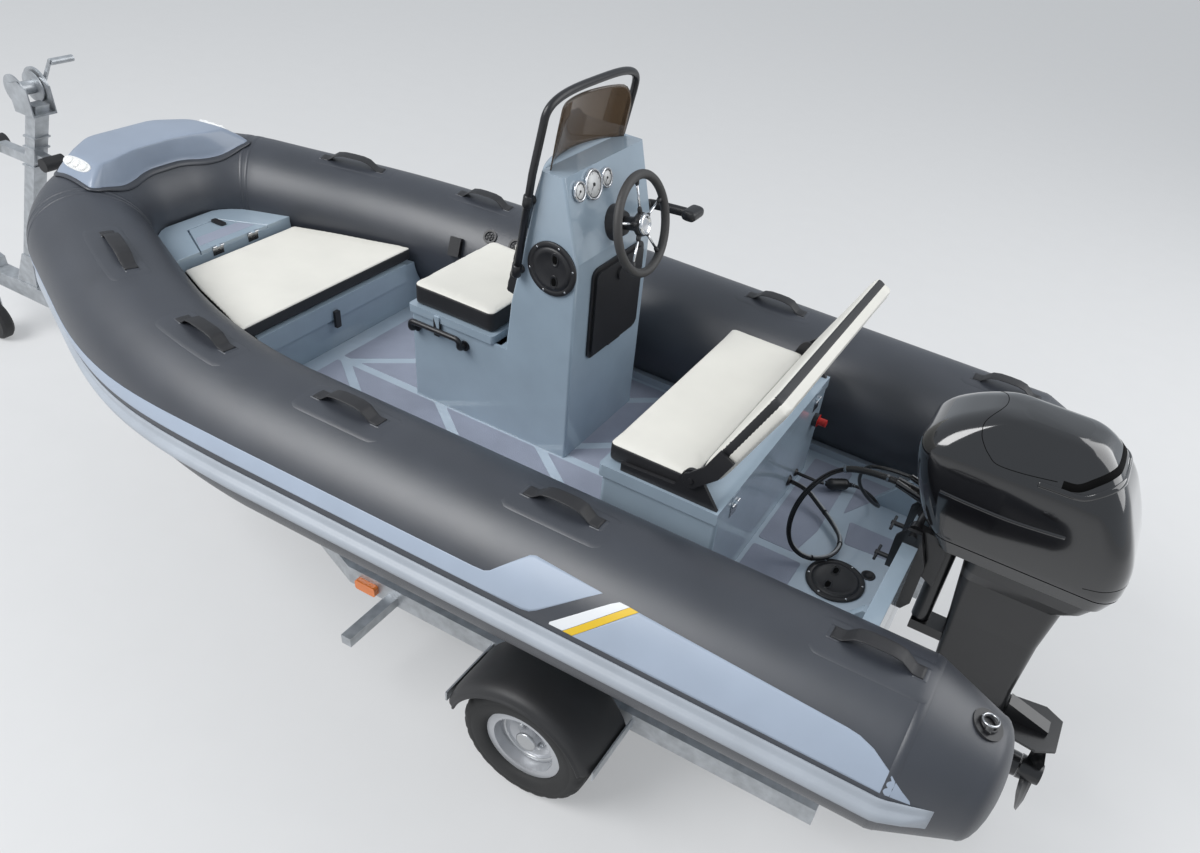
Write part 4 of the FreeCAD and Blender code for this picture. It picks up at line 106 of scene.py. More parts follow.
def surface(name, color, rough, metal=0.0, coat=0.0, grain="noise", scale=400.0, bump=0.1, mottle=0.08,
            mottle_scale=6.0, stretch=(1.0, 1.0, 1.0), transmission=0.0, specular=0.5):
    """Node material of one surface."""
    mat = bpy.data.materials.new(name)
    mat.use_nodes = True
    tree = mat.node_tree
    shader = tree.nodes["Principled BSDF"]
    shader.inputs["Metallic"].default_value = metal
    shader.inputs["Coat Weight"].default_value = coat
    shader.inputs["Coat Roughness"].default_value = 0.06
    shader.inputs["Transmission Weight"].default_value = transmission
    shader.inputs["Specular IOR Level"].default_value = specular
    place = tree.nodes.new("ShaderNodeTexCoord")
    mapping = tree.nodes.new("ShaderNodeMapping")
    mapping.inputs["Scale"].default_value = stretch
    link(mat, place, "Object", mapping, "Vector")
    cloud = tree.nodes.new("ShaderNodeTexNoise")
    cloud.inputs["Scale"].default_value = mottle_scale
    cloud.inputs["Detail"].default_value = 5.0
    link(mat, mapping, "Vector", cloud, "Vector")
    ramp = tree.nodes.new("ShaderNodeValToRGB")
    ramp.color_ramp.elements[0].position = 0.3
    ramp.color_ramp.elements[1].position = 0.7
    low = [c * (1.0 - mottle) for c in color]
    high = [min(1.0, c * (1.0 + mottle)) for c in color]
    ramp.color_ramp.elements[0].color = (*low, 1.0)
    ramp.color_ramp.elements[1].color = (*high, 1.0)
    link(mat, cloud, "Fac", ramp, "Fac")
    link(mat, ramp, "Color", shader, "Base Color")
    vary = tree.nodes.new("ShaderNodeMapRange")
    vary.inputs["To Min"].default_value = max(0.02, rough - ROUGH_SPREAD)
    vary.inputs["To Max"].default_value = min(1.0, rough + ROUGH_SPREAD)
    link(mat, cloud, "Fac", vary, "Value")
    link(mat, vary, "Result", shader, "Roughness")
    kind, settings = GRAINS[grain]
    fine = tree.nodes.new(kind)
    fine.inputs["Scale"].default_value = scale
    for key, value in settings.items():
        fine.inputs[key].default_value = value
    link(mat, mapping, "Vector", fine, "Vector")
    relief = tree.nodes.new("ShaderNodeBump")
    relief.inputs["Strength"].default_value = bump
    relief.inputs["Distance"].default_value = GRAIN_DEPTH
    link(mat, fine, 0, relief, "Height")
    link(mat, relief, "Normal", shader, "Normal")
    return mat


MAT = {
    "tube": surface("coated_fabric", (0.034, 0.038, 0.048), 0.40, grain="cells", scale=900.0, bump=0.3, mottle=0.10,
                    specular=0.8),
    "panel": surface("panel_grey", (0.34, 0.395, 0.48), 0.42, grain="cells", scale=900.0, bump=0.2, mottle=0.04),
    "white": surface("stripe_white", (0.74, 0.75, 0.76), 0.42, grain="cells", scale=900.0, bump=0.2, mottle=0.02),
    "yellow": surface("stripe_yellow", (0.72, 0.47, 0.02), 0.42, grain="cells", scale=900.0, bump=0.2, mottle=0.04),
    "strake": surface("strake_grey", (0.36, 0.39, 0.43), 0.45, scale=500.0, bump=0.15, mottle=0.06),
    "gelcoat": surface("gelcoat", (0.305, 0.38, 0.45), 0.16, coat=0.6, scale=60.0, bump=0.04, mottle=0.05),
    "hull": surface("hull_gelcoat", (0.36, 0.41, 0.47), 0.2, coat=0.5, scale=60.0, bump=0.04, mottle=0.05),
    "pad": surface("pad_moulding", (0.25, 0.295, 0.37), 0.3, coat=0.2, scale=60.0, bump=0.05, mottle=0.05),
    "deck": surface("deck_gloss", (0.42, 0.50, 0.58), 0.2, coat=0.4, scale=60.0, bump=0.04, mottle=0.05),
    "grip": surface("anti_slip", (0.285, 0.31, 0.385), 0.72, grain="cells", scale=330.0, bump=0.9, mottle=0.1),
    "cream": surface("cream_vinyl", (0.72, 0.70, 0.64), 0.5, grain="cells", scale=700.0, bump=0.25, mottle=0.03),
    "black_vinyl": surface("black_vinyl", (0.018, 0.018, 0.02), 0.5, grain="cells", scale=700.0, bump=0.3),
    "black": surface("black_moulding", (0.016, 0.016, 0.018), 0.42, scale=900.0, bump=0.2, mottle=0.15),
    "black_tube": surface("powder_black", (0.014, 0.014, 0.016), 0.34, scale=700.0, bump=0.12, mottle=0.12),
    "rubber": surface("rubber", (0.02, 0.02, 0.021), 0.6, scale=500.0, bump=0.3, mottle=0.2),
    "tyre": surface("tyre_rubber", (0.022, 0.022, 0.022), 0.72, scale=350.0, bump=0.4, mottle=0.25),
    "guard": surface("guard_plastic", (0.02, 0.02, 0.021), 0.5, scale=800.0, bump=0.35, mottle=0.2),
    "galvanised": surface("galvanised", (0.46, 0.48, 0.50), 0.42, metal=0.75, grain="cells", scale=110.0, bump=0.12,
                          mottle=0.16, mottle_scale=30.0),
    "stainless": surface("stainless", (0.60, 0.61, 0.63), 0.26, metal=1.0, scale=500.0, bump=0.06,
                         stretch=(1.0, 1.0, 12.0)),
    "chrome": surface("chrome", (0.72, 0.73, 0.75), 0.1, metal=1.0, scale=80.0, bump=0.02, mottle=0.03),
    "rim": surface("rim_paint", (0.52, 0.53, 0.55), 0.34, metal=0.55, scale=600.0, bump=0.1, mottle=0.08),
    "cowl": surface("cowl_gloss", (0.006, 0.006, 0.007), 0.12, coat=1.0, scale=50.0, bump=0.03, mottle=0.1),
    "engine": surface("engine_black", (0.010, 0.010, 0.011), 0.3, coat=0.3, scale=400.0, bump=0.12, mottle=0.15),
    # Near-black and barely reflecting: painted shade for grooves, slots and recesses
    "dark_gap": surface("dark_gap", (0.002, 0.002, 0.002), 0.8, scale=100.0, bump=0.05, specular=0.1),
    "lens": surface("clear_lens", (0.80, 0.82, 0.84), 0.06, transmission=0.7, scale=60.0, bump=0.04, mottle=0.02),
    "bulb": surface("bulb", (0.80, 0.80, 0.78), 0.15, coat=1.0, scale=90.0, bump=0.05, mottle=0.02),
    "amber": surface("amber_lens", (0.80, 0.20, 0.02), 0.15, coat=0.6, scale=300.0, bump=0.2, mottle=0.1),
    "screen": surface("smoked_screen", (0.13, 0.085, 0.05), 0.04, transmission=0.55, scale=30.0, bump=0.02),
    "dial": surface("dial_white", (0.72, 0.72, 0.71), 0.35, scale=300.0, bump=0.05, mottle=0.02),
    "red": surface("red_plastic", (0.45, 0.02, 0.015), 0.35, scale=500.0, bump=0.1, mottle=0.1),
    "cord": surface("cable_sheath", (0.014, 0.014, 0.015), 0.4, scale=500.0, bump=0.2, mottle=0.2),
    "pale_cord": surface("pale_sheath", (0.40, 0.41, 0.42), 0.4, scale=500.0, bump=0.2, mottle=0.1),
    "zinc": surface("zinc", (0.55, 0.56, 0.57), 0.3, metal=0.9, scale=200.0, bump=0.1, mottle=0.1),
    "grip_rim": surface("wheel_grip", (0.045, 0.043, 0.042), 0.55, grain="cells", scale=600.0, bump=0.3, mottle=0.12),
}
NODE_MATERIALS = {
    "tube_fabric": "tube", "strake_rubber": "strake", "gelcoat": "gelcoat", "pad_plastic": "pad",
    "deck_floor": "deck", "cushion": "cream", "black_plastic": "black", "lens": "lens", "amber": "amber",
    "screen": "screen", "black_tube": "black_tube", "stainless": "stainless", "gauge": "chrome",
    "engine_gloss": "cowl", "engine_metal": "engine", "galvanised": "galvanised", "rim_silver": "rim",
    "tyre": "tyre", "guard_plastic": "guard", "support_rubber": "rubber", "cord_rubber": "cord",
}
SLOT_OF = {row["node"]: row["material_slot"] for row in frame["record"]["subparts"]}
OWN_MATERIALS = {"hull": "hull", "transom": "gelcoat", "gauges": "chrome", "backrest_arms": "black"}
for node, obj in NODES.items():
    obj.data.materials.clear()
    obj.data.materials.append(MAT[OWN_MATERIALS.get(node, NODE_MATERIALS[SLOT_OF[node]])])


# Directions and angles
def turns(count):
    """Angles of a full turn in equal steps."""
    return [2.0 * math.pi * i / count for i in range(count)]


def around(u, w, a):
    """Direction at an angle from u towards w."""
    return u * math.cos(a) + w * math.sin(a)


def heading(line, i):
    """Direction of a line of points at one of them."""
    return (line[min(i + 1, len(line) - 1)] - line[max(i - 1, 0)]).normalized()


def signed_power(value, power):
    """Power of a value's size, with the value's sign."""
    return math.copysign(abs(value) ** power, value)


# Mesh makers
def add_piece(name, verts, faces, slot, mats, body="boat", smooth=True, tags=None):
    """New mesh piece from points in the ground frame, riding on a body."""
    mesh = bpy.data.meshes.new(name)
    mesh.from_pydata([tuple(v) for v in verts], [], faces)
    mesh.validate()
    obj = bpy.data.objects.new(name, mesh)
    bpy.context.scene.collection.objects.link(obj)
    for key in ([mats] if isinstance(mats, str) else mats):
        mesh.materials.append(MAT[key])
    if tags:
        for face, tag in zip(mesh.polygons, tags):
            face.material_index = tag
    for face in mesh.polygons:
        face.use_smooth = smooth
    fix = bmesh.new()
    fix.from_mesh(mesh)
    bmesh.ops.recalc_face_normals(fix, faces=fix.faces)
    fix.to_mesh(mesh)
    fix.free()
    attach(obj, body)
    return obj


def grid(rows, wrap=False, close_ends=False):
    """Points and faces of a net of rows; wrap joins each row's ends, close_ends caps the net."""
    count = len(rows[0])
    verts = [v for row in rows for v in row]
    faces = []
    for i in range(len(rows) - 1):
        for j in range(count if wrap else count - 1):
            k = (j + 1) % count
            faces.append((i * count + j, i * count + k, (i + 1) * count + k, (i + 1) * count + j))
    if close_ends:
        faces.append(tuple(range(count)))
        faces.append(tuple((len(rows) - 1) * count + j for j in range(count)))
    return verts, faces


def join_parts(parts):
    """One list of points and faces from several."""
    verts = []
    faces = []
    for some_verts, some_faces in parts:
        base = len(verts)
        verts.extend(some_verts)
        faces.extend(tuple(i + base for i in face) for face in some_faces)
    return verts, faces


def lathe(profile, start, axis, steps=48, wrap_profile=False):
    """Turned form: profile rows are (distance along the axis, radius)."""
    axis = Vector(axis).normalized()
    side = axis.orthogonal().normalized()
    other = axis.cross(side)
    rows = [[Vector(start) + axis * along + around(side, other, a) * radius for a in turns(steps)]
            for along, radius in profile]
    if wrap_profile:
        rows.append(rows[0])
    return grid(rows, wrap=True, close_ends=not wrap_profile)


def tube_along(points, radius, sides=12):
    """Round bar through a list of points, with its section carried along without twist."""
    points = [Vector(p) for p in points]
    rows = []
    normal = None
    for i, p in enumerate(points):
        ahead = heading(points, i)
        if normal is None:
            normal = ahead.orthogonal().normalized()
        normal = (normal - ahead * normal.dot(ahead)).normalized()
        other = ahead.cross(normal)
        r = radius[i] if isinstance(radius, list) else radius
        rows.append([p + around(normal, other, a) * r for a in turns(sides)])
    return grid(rows, wrap=True, close_ends=True)


def spline_points(points, steps=12):
    """Smooth run through the given points."""
    points = [Vector(p) for p in points]
    out = []
    for i in range(len(points) - 1):
        p0 = points[max(i - 1, 0)]
        p1 = points[i]
        p2 = points[i + 1]
        p3 = points[min(i + 2, len(points) - 1)]
        for j in range(steps):
            t = j / steps
            out.append(0.5 * (2.0 * p1 + (p2 - p0) * t + (2.0 * p0 - 5.0 * p1 + 4.0 * p2 - p3) * t * t
                              + (3.0 * p1 - p0 - 3.0 * p2 + p3) * t ** 3))
    out.append(points[-1])
    return out


def table_value(rows, x):
    """Straight-line reading of a table of (x, value) rows."""
    if x <= rows[0][0]:
        return rows[0][1]
    for (x0, v0), (x1, v1) in zip(rows[:-1], rows[1:]):
        if x <= x1:
            return v0 + (v1 - v0) * (x - x0) / (x1 - x0)
    return rows[-1][1]


# Air tube: its line from the port stern round the nose to the starboard stern
TUBE_R = 0.235
TUBE_BOW_R = 0.203
TUBE_Y = 0.740
TUBE_Z = 0.190
TUBE_RISE = 0.130
TUBE_END_X = -1.430
TUBE_BEND_X = 0.600
SWEEP_R = 2.300
SWEEP = math.radians(23.6)
CORNER_R = 0.390
NOSE_X = 2.060
CONE_LENGTH = 0.190
CONE_END_R = 0.165
CAP_LENGTH = 0.060
STEP = 0.018


def port_path():
    """Plan places and headings from the stern cone's end to the nose."""
    rows = []
    x = TUBE_END_X - CONE_LENGTH
    while x < TUBE_BEND_X - 0.001:
        rows.append((x, TUBE_Y, 0.0))
        x += STEP
    count = int(SWEEP_R * SWEEP / STEP)
    for i in range(count + 1):
        a = SWEEP * i / count
        rows.append((TUBE_BEND_X + SWEEP_R * math.sin(a), TUBE_Y - SWEEP_R * (1.0 - math.cos(a)), a))
    x, y, _ = rows[-1]
    run = (NOSE_X - x - CORNER_R * (1.0 - math.sin(SWEEP))) / math.cos(SWEEP)
    count = int(run / STEP)
    for i in range(1, count + 1):
        rows.append((x + run * math.cos(SWEEP) * i / count, y - run * math.sin(SWEEP) * i / count, SWEEP))
    x, y, _ = rows[-1]
    count = int(CORNER_R * (math.pi / 2.0 - SWEEP) / STEP)
    for i in range(1, count + 1):
        a = SWEEP + (math.pi / 2.0 - SWEEP) * i / count
        rows.append((x + CORNER_R * (math.sin(a) - math.sin(SWEEP)), y - CORNER_R * (math.cos(SWEEP) - math.cos(a)), a))
    return rows


def station(row, side=1.0):
    """Centre, outward direction and radius at one place of the path."""
    x, y, heading = row
    share = max(0.0, (x - TUBE_BEND_X) / (NOSE_X - TUBE_BEND_X))
    radius = TUBE_R - (TUBE_R - TUBE_BOW_R) * share
    if x < TUBE_END_X:
        radius = TUBE_R - (TUBE_R - CONE_END_R) * (TUBE_END_X - x) / CONE_LENGTH
    centre = boat(x, side * y, TUBE_Z + TUBE_RISE * share ** 1.6)
    return centre, Vector((math.sin(heading), side * math.cos(heading), 0.0)), radius


UP = Vector((0.0, 0.0, 1.0))
PORT_PATH = port_path()


def skin(place, degrees, lift=0.0):
    """Point on the tube's skin: 0 degrees is outboard, 90 the top."""
    centre, outward, radius = place
    return centre + around(outward, UP, math.radians(degrees)) * (radius + lift)


def place_at(x, side=1.0):
    """Station of the tube at one x, on either side."""
    x = max(x, PORT_PATH[0][0])
    for a, b in zip(PORT_PATH[:-1], PORT_PATH[1:]):
        if x <= b[0]:
            t = (x - a[0]) / (b[0] - a[0])
            return station(tuple(a[i] + (b[i] - a[i]) * t for i in range(3)), side)
    return station(PORT_PATH[-1], side)


FULL_PATH = [(row, 1.0) for row in PORT_PATH] + [(row, -1.0) for row in reversed(PORT_PATH)]
RING_STEPS = 72


def tube_rings():
    """Rings of the tube's skin from the port stern cap to the starboard one."""
    ends = []
    for degrees in (8.0, 18.0, 30.0, 42.0, 54.0, 66.0, 78.0, 86.0):
        a = math.radians(degrees)
        x = TUBE_END_X - CONE_LENGTH - CAP_LENGTH * math.sin(a)
        ends.append((x, CONE_END_R * math.cos(a)))
    rings = [(boat(x, TUBE_Y, TUBE_Z), Vector((0, 1, 0)), r) for x, r in reversed(ends)]
    rings += [station(row, side) for row, side in FULL_PATH]
    rings += [(boat(x, -TUBE_Y, TUBE_Z), Vector((0, -1, 0)), r) for x, r in ends]
    return [[skin(ring, 360.0 * j / RING_STEPS) for j in range(RING_STEPS)] for ring in rings]


verts, faces = grid(tube_rings(), wrap=True, close_ends=True)
air_tube = add_piece("air_tube", verts, faces, "tube_fabric", "tube")
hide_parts("tube_collar")

# Rub strake: a flat strip with a rounded ridge, dropping round the tube towards the bow
STRAKE_PROFILE = [
    (11.5, 0.0003), (11.3, 0.0042), (11.0, 0.0052), (8.5, 0.0055), (6.2, 0.0058), (5.3, 0.0085), (4.6, 0.0150),
    (3.6, 0.0205), (2.4, 0.0232), (1.0, 0.0240), (-0.6, 0.0238), (-1.9, 0.0220), (-2.9, 0.0180), (-3.5, 0.0120),
    (-4.1, 0.0070), (-5.2, 0.0052), (-9.3, 0.0050), (-10.0, 0.0003),
]
STRAKE_FALL = 26.0
STRAKE_FALL_X = 1.550
STRAKE_END_X = -1.548


def strake_turn(x):
    """Angle by which the stripes drop round the tube towards the bow."""
    share = max(0.0, min(1.0, (x - TUBE_BEND_X) / (STRAKE_FALL_X - TUBE_BEND_X)))
    return STRAKE_FALL * share ** 2 * (3.0 - 2.0 * share)


def sweep_strip(profile, start_x, taper=0.0):
    """Rows of a profile of (degrees, lift) carried all round the boat."""
    rows = []
    for row, side in FULL_PATH:
        if row[0] < start_x:
            continue
        place = station(row, side)
        turn = strake_turn(row[0])
        ease = min(1.0, max(0.08, (row[0] - start_x) / taper)) if taper else 1.0
        rows.append([skin(place, degrees - turn, lift * ease) for degrees, lift in profile])
    return rows


verts, faces = grid(sweep_strip(STRAKE_PROFILE, STRAKE_END_X, 0.05), close_ends=True)
strake = add_piece("rub_rail", verts, faces, "strake_rubber", "strake")
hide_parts("rub_strake")

# Coloured panels: upper and lower edge by x, in degrees round the tube. The band runs on round the bow.
BAND_TOP = 28.6
BAND_LOW = 16.2
PANELS = [
    ("band", "panel",
     [(-0.622, 49.3), (-0.610, 49.6), (-0.415, 52.3), (-0.400, 51.0), (-0.312, 30.8), (-0.296, 29.0),
      (-0.260, BAND_TOP), (TUBE_BEND_X, BAND_TOP)],
     [(-0.622, 49.3), (-0.472, 20.5), (-0.452, 17.4), (-0.425, BAND_LOW), (TUBE_BEND_X, BAND_LOW)]),
    ("white_stripe", "white",
     [(-0.702, 48.9), (-0.672, 48.9), (-0.652, 45.5), (-0.516, 17.5), (-0.515, 15.9)],
     [(-0.702, 48.9), (-0.556, 15.8), (-0.515, 15.8)]),
    ("yellow_stripe", "yellow",
     [(-0.728, 48.4), (-0.703, 48.8), (-0.557, 15.8)],
     [(-0.728, 48.4), (-0.585, 15.7), (-0.557, 15.7)]),
    ("aft_panel", "panel",
     [(-1.492, 13.0), (-1.488, 15.0), (-1.420, 30.0), (-1.370, 37.5), (-1.330, 40.8), (-1.295, 41.8), (-0.729, 48.3),
      (-0.586, 15.7)],
     [(-1.492, 12.6), (-1.440, 14.6), (-1.400, 14.8), (-0.586, 15.6)]),
]
PANEL_LIFT = 0.0007
PANEL_ROWS = 16


def panel_columns(top, low, side):
    """Net of one panel between its two edges."""
    marks = sorted({x for x, _ in top} | {x for x, _ in low})
    xs = []
    for a, b in zip(marks[:-1], marks[1:]):
        count = max(1, int((b - a) / 0.02))
        xs.extend(a + (b - a) * i / count for i in range(count))
    xs.append(marks[-1])
    return [panel_column(place_at(x, side), table_value(top, x), table_value(low, x)) for x in xs]


def panel_column(place, high, low):
    """Points of one panel across the tube, from its upper edge to its lower one."""
    column = [skin(place, high, 0.0)]
    for j in range(PANEL_ROWS + 1):
        column.append(skin(place, high + (low - high) * j / PANEL_ROWS, PANEL_LIFT))
    column.append(skin(place, low, 0.0))
    return column


for name, key, top, low in PANELS:
    if name == "band":
        rows = panel_columns(top, low, 1.0)
        for row, side in FULL_PATH:
            if row[0] > TUBE_BEND_X:
                turn = strake_turn(row[0])
                rows.append(panel_column(station(row, side), BAND_TOP - turn, BAND_LOW - turn))
        rows.extend(reversed(panel_columns(top, low, -1.0)))
        add_piece("band_round", *grid(rows), "tube_fabric", key)
        continue
    for side, label in zip(SIDES, ("port", "stbd")):
        add_piece(name + "_" + label, *grid(panel_columns(top, low, side)), "tube_fabric", key)


# Carrying straps on their patches: x of each pair
STRAP_X = [-1.290, -0.398, 0.335, 0.930, 1.490]
STRAP_DEG = 92.0
STRAP_HALF = 0.021
STRAP_THICK = 0.0036
STRAP_EDGE = 0.0008
STRAP_SHARES = (-1.0, -0.92, -0.5, 0.0, 0.5, 0.92, 1.0)
STRAP_ARCH = [(-0.118, 0.0015), (-0.096, 0.002), (-0.088, 0.004), (-0.078, 0.012), (-0.060, 0.026), (-0.035, 0.0315)]
STRAP_ARCH += [(0.0, 0.0325)] + [(-along, lift) for along, lift in reversed(STRAP_ARCH)]
PATCH_COLUMNS = 10


def strap_parts(x, side):
    """Arched webbing of one strap."""
    path = []
    for (a, la), (b, lb) in zip(STRAP_ARCH[:-1], STRAP_ARCH[1:]):
        path.extend((a + (b - a) * t / 3.0, la + (lb - la) * t / 3.0) for t in range(3))
    path.append(STRAP_ARCH[-1])
    rows = []
    for along, lift in path:
        place = place_at(x + along, side)
        spread = math.degrees(STRAP_HALF / place[2])
        row = []
        for way, thick in ((1.0, STRAP_THICK), (-1.0, 0.0)):
            for share in STRAP_SHARES:
                edge = way * STRAP_EDGE if abs(share) == 1.0 else 0.0
                row.append(skin(place, STRAP_DEG + spread * share * way, lift + thick - edge))
        rows.append(row)
    return grid(rows, wrap=True, close_ends=True)


def skin_patch(x, side, degrees, half_x, half_deg, lift, corner, steps=14):
    """Thin rounded patch on the skin."""
    rows = []
    for i in range(steps + 1):
        tx = signed_power(-1.0 + 2.0 * i / steps, 0.8)
        reach = 1.0 if abs(tx) < 1.0 - corner else 1.0 - corner * (1.0 - math.sqrt(
            max(0.0, 1.0 - ((abs(tx) - 1.0 + corner) / corner) ** 2)))
        place = place_at(x + half_x * tx, side)
        span = half_deg * reach
        rise = 0.0 if i in (0, steps) else lift
        row = [skin(place, degrees - span, 0.0)]
        for j in range(PATCH_COLUMNS + 1):
            row.append(skin(place, degrees + span * (-0.97 + 1.94 * j / PATCH_COLUMNS), rise))
        row.append(skin(place, degrees + span, 0.0))
        rows.append(row)
    return grid(rows)


strap_meshes = []
patch_meshes = []
for x in STRAP_X:
    for side in SIDES:
        strap_meshes.append(strap_parts(x, side))
        patch_meshes.append(skin_patch(x, side, STRAP_DEG - 3.0, 0.155, 17.0, 0.0009, corner=0.2))
        for end in (-0.110, 0.110):
            patch_meshes.append(skin_patch(x + end, side, STRAP_DEG, 0.020, 6.2, 0.0022, corner=0.15, steps=8))
straps = add_piece("carry_straps", *join_parts(strap_meshes), "tube_fabric", "black_vinyl")
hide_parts("handle_straps")
add_piece("strap_patches", *join_parts(patch_meshes), "tube_fabric", "tube")

# Engine cowl: level outlines, each by height, front and back behind the steering axis, half width, corner
STEER_X = -1.335
COWL_ROWS = [
    (0.372, -0.083, 0.471, 0.152, 0.075), (0.400, -0.106, 0.4725, 0.1575, 0.077), (0.470, -0.140, 0.465, 0.166, 0.080),
    (0.540, -0.166, 0.440, 0.168, 0.080), (0.620, -0.187, 0.400, 0.160, 0.080), (0.668, -0.166, 0.372, 0.146, 0.076),
    (0.712, -0.120, 0.337, 0.122, 0.070), (0.748, -0.062, 0.298, 0.100, 0.058), (0.770, -0.015, 0.262, 0.080, 0.050),
    (0.779, 0.040, 0.220, 0.055, 0.040),
]


CORNER_STEPS = 12
SIDE_STEPS = 6


def level_ring(row):
    """Rounded rectangle at one height, with its points spread along the corners and sides."""
    z, front, back, half, radius = row
    x1 = STEER_X - front
    x0 = STEER_X - back
    centres = [(x1 - radius, half - radius, 0.0), (x0 + radius, half - radius, 90.0),
               (x0 + radius, radius - half, 180.0), (x1 - radius, radius - half, 270.0)]
    ring = []
    for n, (cx, cy, start) in enumerate(centres):
        corner = []
        for i in range(CORNER_STEPS + 1):
            a = math.radians(start + 90.0 * i / CORNER_STEPS)
            corner.append(boat(cx + radius * math.cos(a), cy + radius * math.sin(a), z))
        ring.extend(corner)
        nx, ny, nstart = centres[(n + 1) % 4]
        a = math.radians(nstart)
        ahead = boat(nx + radius * math.cos(a), ny + radius * math.sin(a), z)
        ring.extend(corner[-1].lerp(ahead, i / SIDE_STEPS) for i in range(1, SIDE_STEPS))
    return ring


def between_rows(rows, steps):
    """Rows of a table joined by a smooth run."""
    out = []
    for i in range(len(rows) - 1):
        p = [rows[max(0, i - 1)], rows[i], rows[i + 1], rows[min(len(rows) - 1, i + 2)]]
        for j in range(steps):
            t = j / steps
            out.append(tuple(0.5 * (2.0 * b + (c - a) * t + (2.0 * a - 5.0 * b + 4.0 * c - d) * t * t
                                    + (3.0 * b - a - 3.0 * c + d) * t ** 3) for a, b, c, d in zip(*p)))
    out.append(tuple(rows[-1]))
    return out


verts, faces = grid([level_ring(row) for row in between_rows(COWL_ROWS, 5)], wrap=True, close_ends=True)
cowl = add_piece("cowl_shell", verts, faces, "engine_gloss", "cowl", body="engine")
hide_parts("engine_cowl")

# Moulded CAD pieces: points joined and sharp edges rounded
ROUNDED_NODES = [
    ("console", 0.005), ("helm_box", 0.005), ("bow_locker", 0.004), ("front_seat_lid", 0.004), ("helm_lid", 0.004),
    ("bow_lid", 0.004), ("transom", 0.005), ("fore_hatch", 0.002), ("glovebox_door", 0.002), ("side_rails", 0.004),
    ("drawbar", 0.004), ("mudguards", 0.002), ("backrest_arms", 0.002), ("seat_brackets", 0.003),
]
WELD_DISTANCE = 0.00002
SHARP_ANGLE = math.radians(30.0)
for node, width in ROUNDED_NODES:
    weld = NODES[node].modifiers.new("weld", "WELD")
    weld.merge_threshold = WELD_DISTANCE
    bevel = NODES[node].modifiers.new("round", "BEVEL")
    bevel.width = width
    bevel.segments = 3
    bevel.limit_method = "ANGLE"
    bevel.angle_limit = SHARP_ANGLE
    bevel.harden_normals = False

# Area from which a CAD face counts as large, in square metres
LARGE_FACE = 0.003


def paint(node, key, low, high):
    """Second material on the small faces of a CAD node inside one box of the boat's frame."""
    mesh = NODES[node].data
    mesh.materials.append(MAT[key])
    low = boat(*low)
    high = boat(*high)
    for face in mesh.polygons:
        if face.area < LARGE_FACE and all(low[i] <= face.center[i] <= high[i] for i in range(3)):
            face.material_index = len(mesh.materials) - 1


paint("fore_hatch", "black", (1.70, -0.07, 0.2852), (1.78, -0.03, 0.30))
paint("bow_lid", "black", (1.06, 0.004, 0.09), (1.0925, 0.036, 0.20))
paint("front_seat_lid", "black", (0.52, 0.0805, 0.28), (0.57, 0.10, 0.34))
paint("helm_fittings", "red", (-0.80, -0.40, 0.20), (-0.752, -0.30, 0.30))


# Outlines in plan
def rounded_outline(points, radius, per_corner=6, per_side=7):
    """Closed outline with rounded corners."""
    runs = []
    for i, place in enumerate(points):
        corner = Vector(place)
        ends = []
        for other in (points[i - 1], points[(i + 1) % len(points)]):
            side = Vector(other) - corner
            ends.append(corner + side * min(0.45, radius / side.length))
        runs.append([ends[0] * (1 - t) ** 2 + corner * 2 * t * (1 - t) + ends[1] * t * t
                     for t in (j / per_corner for j in range(per_corner + 1))])
    out = []
    for i, run in enumerate(runs):
        ahead = runs[(i + 1) % len(runs)][0]
        out.extend(run)
        out.extend(run[-1].lerp(ahead, j / per_side) for j in range(1, per_side))
    return out


def inset_outline(outline, distance):
    """Outline that runs counterclockwise, moved inwards."""
    out = []
    for i, p in enumerate(outline):
        along = outline[(i + 1) % len(outline)] - outline[i - 1]
        out.append(p + Vector((-along.y, along.x)).normalized() * distance)
    return out


def round_form(centre, u, w, profile, steps=40, a=1.0, b=1.0, power=2.0):
    """Round or oval form on a face: profile rows are (radius, lift), u and w span the face."""
    n = u.cross(w)
    rows = []
    for radius, lift in profile:
        row = []
        for t in turns(steps):
            cu = signed_power(math.cos(t), 2.0 / power)
            cw = signed_power(math.sin(t), 2.0 / power)
            row.append(centre + u * (cu * radius * a) + w * (cw * radius * b) + n * lift)
        rows.append(row)
    return grid(rows, wrap=True, close_ends=True)


# Bow step pad: a flange lying on the tube, sloping walls and a flat top
PAD_FLANGE = [(1.840, 0.372), (1.852, 0.240), (1.912, 0.085), (1.912, -0.085), (1.852, -0.240), (1.840, -0.372),
              (2.095, -0.345), (2.188, -0.170), (2.188, 0.170), (2.095, 0.345)]
PAD_TOP = [(1.905, 0.282), (1.908, 0.215), (1.940, 0.100), (1.940, -0.100), (1.908, -0.215), (1.905, -0.282),
           (2.062, -0.256), (2.142, -0.140), (2.142, 0.140), (2.062, 0.256)]
PAD_TOP_Z = 0.563
PAD_MID_X = 2.02
TUBE_LINE = [station(row, side) for row, side in FULL_PATH]
nose_port = station(PORT_PATH[-1], 1.0)
nose_stbd = station(PORT_PATH[-1], -1.0)
TUBE_LINE.extend((nose_port[0].lerp(nose_stbd[0], i / 8), nose_port[1], nose_port[2]) for i in range(1, 8))


def tube_top(p):
    """Height of the tube's skin over one place in plan, in the boat's frame."""
    at = boat(p.x, p.y, 0.0)
    centre, _, radius = min(TUBE_LINE, key=lambda place: (place[0].xy - at.xy).length)
    away = (centre.xy - at.xy).length
    return centre.z - BOAT.z + math.sqrt(max(radius ** 2 - away ** 2, (0.35 * radius) ** 2))


